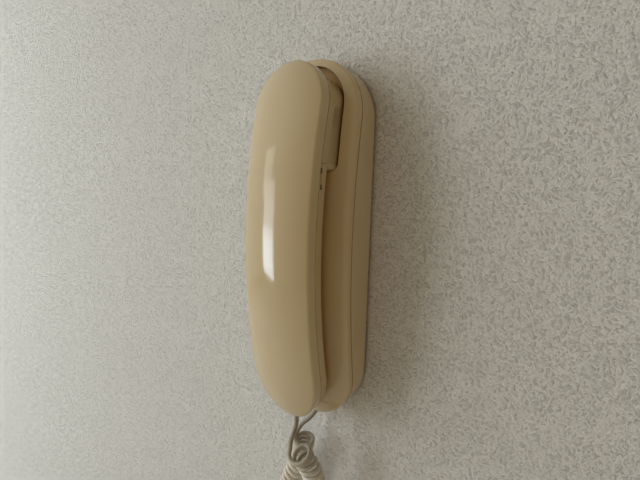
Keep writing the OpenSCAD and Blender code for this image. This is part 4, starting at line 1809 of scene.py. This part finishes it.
    def rest_pads(self, tilt: float, height: float) -> bpy.types.Object:
        """Two rubber pads under the handset's lower end.

        Args:
            tilt: Their tilt.
            height: Their height.

        Returns:
            Both pads, as one piece.
        """
        r, soft = self.pad_r, self.pad_soft
        edge = arc_points((r - soft, height - soft), (soft, soft), 0, self.pad_soft_steps)
        pads = [turning([(r, 0.0), *edge], self.pad_sides) for _ in range(2)]
        return joined(self._at_pads(pads, tilt)).piece("rest_pad_pair")

    def build(self, finishes: Finishes, handset: Handset) -> None:
        """Builds and dresses the covers, plunger, pads and bush.

        Args:
            finishes: The materials.
            handset: The handset, whose inner face the pads meet.
        """
        tilt = math.asin(-self.pad_y / handset.arc)
        seat = self.face_z(self.pad_y) - self.pad_pocket
        height = (handset.face_z(self.pad_y) - seat) * math.cos(tilt) - self.pad_short
        settle(self.front_cover(tilt), finishes.cream, Slot.CREAM, "base", "base_front_cover")
        settle(self.rear_cover(), finishes.cream, Slot.CREAM, "base", "base_rear_cover")
        settle(self.plunger(), finishes.cream, Slot.CREAM, "hook_plunger", "hook_plunger")
        settle(self.rest_pads(tilt, height), finishes.rubber, Slot.RUBBER, "base", "rest_pads")
        bush = self.bush.piece("base_bush", *self.bush_place)
        settle(bush, finishes.cord, Slot.CORD, "base", "base_cord_bush")


@dataclass
class CurlyCord:
    """The curly cord: a straight lead below each bush and a hanging loop of curls."""

    cord_d: float = 3.0
    coil_d: float = 14.8
    curls: float = 60.5
    steps_per_curl: int = 24
    sides: int = 12
    crease: float = 60.0
    probe: float = 0.001
    loose_first: float = 1.4
    loose_last: float = 0.6
    loose_curls: float = 1.5
    length: float = 2.35
    lead_steps: int = 5
    blend_from: float = -13.5
    blend_to: float = -30.0
    route: tuple[Point3, ...] = (
        (9, -122, 54), (6.5, -133.5, 36), (11.5, -149.5, 28), (18, -167.5, 25), (24, -187, 23),
        (28, -207.5, 21.5), (29.5, -229, 20.5), (26, -250, 19.5), (11, -264.5, 18.5),
        (-11, -264.5, 17.5), (-26, -250, 16.5), (-29.5, -229, 15.5), (-28, -208, 14.5),
        (-22.5, -188.5, 14), (-15.5, -170.5, 13.5), (-9, -152.5, 13.5), (-4, -136, 17.5),
        (-3, -119.5, 27),
    )
    handset_lead: tuple[Point3, ...] = (
        (0, -109.3, 30.6), (0, -112.6, 30.6), (0, -116, 30.7), (0, -119, 31.2), (-0.8, -124, 32.5),
        (-1.5, -129, 34.2),
    )
    base_lead: tuple[Point3, ...] = (
        (0, -113.3, 8.5), (0, -116.5, 8.5), (-1.5, -120.5, 9.5), (-5, -125.5, 11.5),
        (-8.5, -129.5, 13.8),
    )

    @staticmethod
    def spline(points: list[Vector], u: float) -> Vector:
        """Point of a smooth curve through points, u counted from the second one.

        Args:
            points: The points, of which the first and last only steer.
            u: Place along the curve.

        Returns:
            The point.
        """
        k = max(0, min(int(u), len(points) - 4))
        t = u - k
        a, b, c, d = points[k : k + 4]
        square, cube = 2 * a - 5 * b + 4 * c - d, 3 * b - a - 3 * c + d
        return 0.5 * (2 * b + (c - a) * t + square * t**2 + cube * t**3)

    def coil_point(self, turn: float) -> Vector:
        """Point of the coil.

        Args:
            turn: Curls from its handset end.

        Returns:
            The point, in the bench frame.
        """
        route = [Vector(p) for p in self.route]
        spans = len(route) - 3
        share = turn / self.curls
        u = share * spans
        ahead = self.spline(route, min(u + self.probe, spans))
        along = (ahead - self.spline(route, max(u - self.probe, 0))).normalized()
        back = Vector((0, 0, -1))
        n = (back - back.dot(along) * along).normalized()
        b = along.cross(n)
        near = min(turn, self.curls - turn) / self.loose_curls
        fade = 0.0 if near >= 1 else 1 - near * near * (3 - 2 * near)
        extra = self.loose_first if share < 0.5 else self.loose_last
        r = (self.coil_d - self.cord_d) / 2 + extra * fade
        a = math.tau * turn
        return self.spline(route, u) - r * (math.cos(a) * b + math.sin(a) * n)

    def lead(self, points: tuple[Point3, ...], onward: list[Vector]) -> list[Vector]:
        """A smooth lead through its points, up to the coil.

        Args:
            points: The lead's points, from its bush outwards.
            onward: The coil's first two points after it.

        Returns:
            The lead's points, without the coil's.
        """
        given = [Vector(p) for p in points]
        steered = [2 * given[0] - given[1], *given, *onward]
        fine = self.lead_steps
        return [self.spline(steered, i / fine) for i in range(fine * len(given))]

    def path(self) -> list[Vector]:
        """The cord's whole centreline, from the handset's bush to the base's.

        Returns:
            The points, in the bench frame.
        """
        count = round(self.curls * self.steps_per_curl)
        coil = [self.coil_point(i / self.steps_per_curl) for i in range(count + 1)]
        ahead = self.steps_per_curl // 8
        first = self.lead(self.handset_lead, [coil[0], coil[ahead]])
        last = self.lead(self.base_lead, [coil[-1], coil[-1 - ahead]])
        return first + coil + last[::-1]

    def tube(self, path: list[Vector]) -> Solid:
        """The cord's skin along its centreline, which doesn't twist.

        Args:
            path: The centreline.

        Returns:
            The solid.
        """
        rings: list[list[Point3]] = []
        side = Vector((1, 0, 0))
        for i, centre in enumerate(path):
            along = (path[min(i + 1, len(path) - 1)] - path[max(i - 1, 0)]).normalized()
            side = (side - side.dot(along) * along).normalized()
            other = along.cross(side)
            ring = circle(self.cord_d / 2, self.sides)
            rings.append([tuple(centre + x * side + y * other) for x, y in ring])
        return stack(rings)

    def build(self, finishes: Finishes) -> None:
        """Args:
            finishes: The materials.
        """
        path = self.path()
        cord = self.tube(path).piece("curly_cord_vinyl", self.crease)
        dress(cord, finishes.cord)
        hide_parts("curly_cord")
        line = [TO_ROW @ p for p in path]
        tuple(line[0])
        [tuple(p) for p in line]
        start, end = (0, self.blend_from * MM, 0), (0, self.blend_to * MM, 0)
        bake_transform(cord)
        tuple(start)
        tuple(end)
        measured = sum((b - a).length for a, b in zip(line, line[1:]))
        LOG.info("curly cord, %.3f m along %d points", measured, len(line))


@dataclass
class Fittings:
    """The source's own solids that show their true shape: they only get finishes."""

    steel: tuple[str, ...] = (
        "base_screws", "hook_pin", "hook_spring", "base_board_screws", "terminal_screws",
        "handset_screws", "microphone", "handset_weight",
    )
    black: tuple[str, ...] = ("hook_lever", "hook_switch", "ringer_speaker", "slide_switch")
    grey: tuple[str, ...] = ("line_terminals", "receiver")
    rubber: tuple[str, ...] = ("receiver_gasket", "microphone_boot", "key_mat")
    boards: tuple[str, ...] = ("base_board", "handset_board")
    knobs: tuple[str, ...] = ("slide_switch_knob",)

    def build(self, finishes: Finishes, nodes: dict[str, bpy.types.Object]) -> None:
        """Dresses the carried-over solids.

        Args:
            finishes: The materials.
            nodes: The frame's nodes by name.
        """
        groups = (
            (self.steel, finishes.steel), (self.black, finishes.black),
            (self.grey, finishes.grey), (self.rubber, finishes.rubber),
            (self.boards, finishes.board), (self.knobs, finishes.cream),
        )
        for names, material in groups:
            for name in names:
                dress(nodes[name], material)
            LOG.info("%s on %s", material.name, ", ".join(names))


# ---- Studio ----

# How far the window panes and the glints before them stand out of the wall, in metres.
PANE_OUT, GLINT_OUT = -0.905, -0.9


@dataclass(frozen=True)
class Lamp:
    """A soft rectangular lamp that faces a point."""

    name: str
    place: Point3
    target: Point3
    size: Point2
    power: float
    color: Color
    mirrored: bool = True
    diffused: bool = True

    def build(self) -> None:
        """Adds the lamp."""
        light = bpy.data.lights.new(self.name, "AREA")
        light.shape = "RECTANGLE"
        light.size, light.size_y = self.size
        light.energy = self.power
        light.color = self.color
        light.spread = math.pi
        lamp = placed(self.name, light)
        lamp.location = self.place
        lamp.visible_glossy = self.mirrored
        lamp.visible_diffuse = self.diffused
        aim = Vector(self.target) - Vector(self.place)
        lamp.rotation_euler = aim.to_track_quat("-Z", "Y").to_euler()


def pane(
    name: str, x: float, z: float, size: Point2, power: float, color: Color, diffused: bool = True
) -> Lamp:
    """A window pane to the left that faces the wall, or a glint that shows only as gloss."""
    out = PANE_OUT if diffused else GLINT_OUT
    return Lamp(name, (x, out, z), (x, 0, z), size, power, color, diffused=diffused)


@dataclass
class Studio:
    """Camera, plain backdrop with a floor, soft lamps and pale surroundings."""

    eye: Point3 = (0.18216, -0.25592, 0.05844)
    heading: float = 0.6362
    dip: float = 0.1822
    roll: float = 0.0234
    focal: float = 481.0
    image_w: float = 640.0
    sensor: float = 36.0
    near: float = 0.01
    wall_half: float = 1.7
    wall_top: float = 1.1
    floor_z: float = -0.6
    floor_out: float = -1.6
    cove: float = 0.2
    cove_steps: int = 12
    wall_gap: float = 0.0004
    wall_color: Color = (0.715, 0.697, 0.655)
    wall_roughness: float = 0.9
    # Painted contact shadow on the wall where the base closes it in.
    wall_contact_shadow: Color = (0.09, 0.07, 0.045)
    contact_shadow_reach: float = 0.006
    contact_shadow_openness: float = 0.72
    stroke_scale: float = 270.0
    stroke_span: Point2 = (-0.02, 0.26)
    fleck_scale: float = 520.0
    fleck_share: float = 0.7
    relief: float = 1.4
    shade_side: Color = (0.184, 0.135, 0.078)
    window_side: Color = (0.66, 0.69, 0.66)
    window_way: Point2 = (-0.95, -0.3)
    window_span: Point2 = (0.1, 1.0)
    lamps: tuple[Lamp, ...] = (
        pane("window_low", -0.86, -0.255, (0.37, 0.27), 1.5, (0.9, 1.0, 1.08)),
        pane("glint_low", -0.86, -0.275, (0.37, 0.23), 1.2, (0.86, 1.0, 1.16), diffused=False),
        pane("glint_mid", -0.86, -0.245, (0.37, 0.29), 0.9, (0.88, 1.0, 1.14), diffused=False),
        pane("window_mid", -0.86, -0.03, (0.37, 0.18), 0.9, (0.93, 1.0, 1.04)),
        pane("window_upper", -0.93, 0.11, (0.46, 0.1), 0.5, (0.95, 1.0, 1.0)),
        pane("window_high", -1.02, 0.26, (0.4, 0.2), 0.5, (0.97, 1.0, 0.98)),
        Lamp("sky", (-1.25, -0.7, 0.45), (0, 0, 0), (1.3, 1.4), 13.8, (0.93, 1.0, 1.03), False),
        Lamp("room", (0.7, -1.12, 0.15), (0, 0, 0), (0.9, 0.9), 2.75, (1.0, 0.84, 0.6), False),
        Lamp("behind", (0, 1.3, 0.1), (0, 0, -0.05), (1.2, 1.2), 7.0, (0.97, 1.0, 1.02), False),
    )

    def camera(self) -> None:
        """Sets up the camera from its place, its heading, its dip and its roll."""
        sa, ca, sd, cd = (f(a) for a in (self.heading, self.dip) for f in (math.sin, math.cos))
        forward = Vector((-sa * cd, ca * cd, -sd))
        right = Vector((ca, sa, 0))
        up = right.cross(forward)
        cr, sr = math.cos(self.roll), math.sin(self.roll)
        right, up = cr * right + sr * up, -sr * right + cr * up
        data = bpy.data.cameras.new("view")
        data.sensor_width = self.sensor
        data.lens = self.focal / self.image_w * self.sensor
        data.clip_start = self.near
        camera = placed("view", data)
        axes = Matrix((right, up, -forward)).transposed()
        camera.matrix_world = Matrix.Translation(self.eye) @ axes.to_4x4()
        bpy.context.scene.camera = camera

    def backdrop(self, effects: Effects) -> None:
        """Adds the wall, which runs down into a floor, as one plain coved sheet.

        Args:
            effects: The shared node groups.
        """
        cove = arc_points(
            (self.wall_gap - self.cove, self.floor_z + self.cove), (self.cove, -self.cove), 0,
            self.cove_steps,
        )
        profile = [(self.wall_gap, self.wall_top), *cove, (self.floor_out, self.floor_z)]
        points = [(x, y, z) for y, z in profile for x in (-self.wall_half, self.wall_half)]
        faces = [(2 * i + 2, 2 * i + 3, 2 * i + 1, 2 * i) for i in range(len(profile) - 1)]
        mesh = bpy.data.meshes.new("wall_and_floor")
        mesh.from_pydata(points, [], faces)
        mesh.shade_smooth()
        sheet = placed("wall_and_floor", mesh)
        dress(sheet, self.wall_material(effects))

    def wall_material(self, effects: Effects) -> bpy.types.Material:
        """Pale embossed wall with a painted contact shadow where it is closed in, clear from behind
        and to shadow rays.

        Args:
            effects: The shared node groups.

        Returns:
            The material.
        """
        surface = Surface("pale_wall", effects)
        # Painted contact shadow where the wall is closed in.
        painted_shadow = surface.effect(
            effects.painted_shade, Color=self.wall_color, Deep=self.wall_color, Dark=self.wall_contact_shadow,
            Reach=self.contact_shadow_reach, Narrow=self.contact_shadow_openness, Amount=1.0,
        )
        strokes = surface.noise(surface.position, self.stroke_scale, detail=5.0, rough=0.72)
        strokes = surface.math("ABSOLUTE", surface.math("SUBTRACT", strokes, NOISE_MEAN))
        flecks = surface.noise(surface.position, self.fleck_scale, detail=3.0, rough=0.6)
        weave = surface.plus(
            surface.span(strokes, *self.stroke_span), surface.times(flecks, self.fleck_share)
        )
        surface.shades(
            Base_Color=painted_shadow["Color"], Roughness=self.wall_roughness,
            Normal=surface.relief(weave, self.relief * MM),
        )
        behind = surface.add("NewGeometry").outputs["Backfacing"]
        shadow = surface.add("LightPath").outputs["Is Shadow Ray"]
        mixed = surface.add("MixShader", Fac=surface.math("MAXIMUM", behind, shadow))
        surface.feed(mixed.inputs[1], surface.shader.outputs[0])
        surface.feed(mixed.inputs[2], surface.add("BsdfTransparent").outputs[0])
        output = surface.tree.nodes["Material Output"]
        surface.feed(output.inputs["Surface"], mixed.outputs[0])
        return surface.material

    def surroundings(self) -> None:
        """Sets the soft light of the room, bright towards the window."""
        world = bpy.data.worlds.new("room_light")
        world.use_nodes = True
        tree = Tree(world.node_tree)
        way = tree.add("SeparateXYZ", Vector=tree.add("TexCoord").outputs["Generated"]).outputs
        across, out = self.window_way
        towards = tree.plus(tree.times(way["X"], across), tree.times(way["Y"], out))
        towards = tree.span(towards, *self.window_span)
        background = world.node_tree.nodes["Background"]
        tree.feed(background.inputs["Color"], tree.mix(towards, self.shade_side, self.window_side))
        bpy.context.scene.world = world

    def build(self, effects: Effects) -> None:
        """Builds the backdrop, lamps and surroundings.

        Args:
            effects: The shared node groups.
        """
        self.backdrop(effects)
        for lamp in self.lamps:
            lamp.build()
        self.surroundings()
        bpy.context.scene.view_settings.view_transform = "Standard"
        LOG.info("studio with %d lamps", len(self.lamps))


def main() -> None:
    """Builds the telephone round the frame, then the studio."""
    logging.basicConfig(level=logging.INFO, format="%(name)s: %(message)s")
    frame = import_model()
    studio = Studio()
    studio.camera()
    effects = Effects()
    finishes = Finishes(effects)
    CurlyCord().build(finishes)
    well, bush, keypad = EarWell(), CordBush(), Keypad()
    handset = Handset(well, bush)
    handset.build(finishes, keypad)
    keypad.build(finishes)
    Base(well, bush).build(finishes, handset)
    Fittings().build(finishes, frame["nodes"])
    studio.build(effects)


if __name__ == "__main__":
    main()
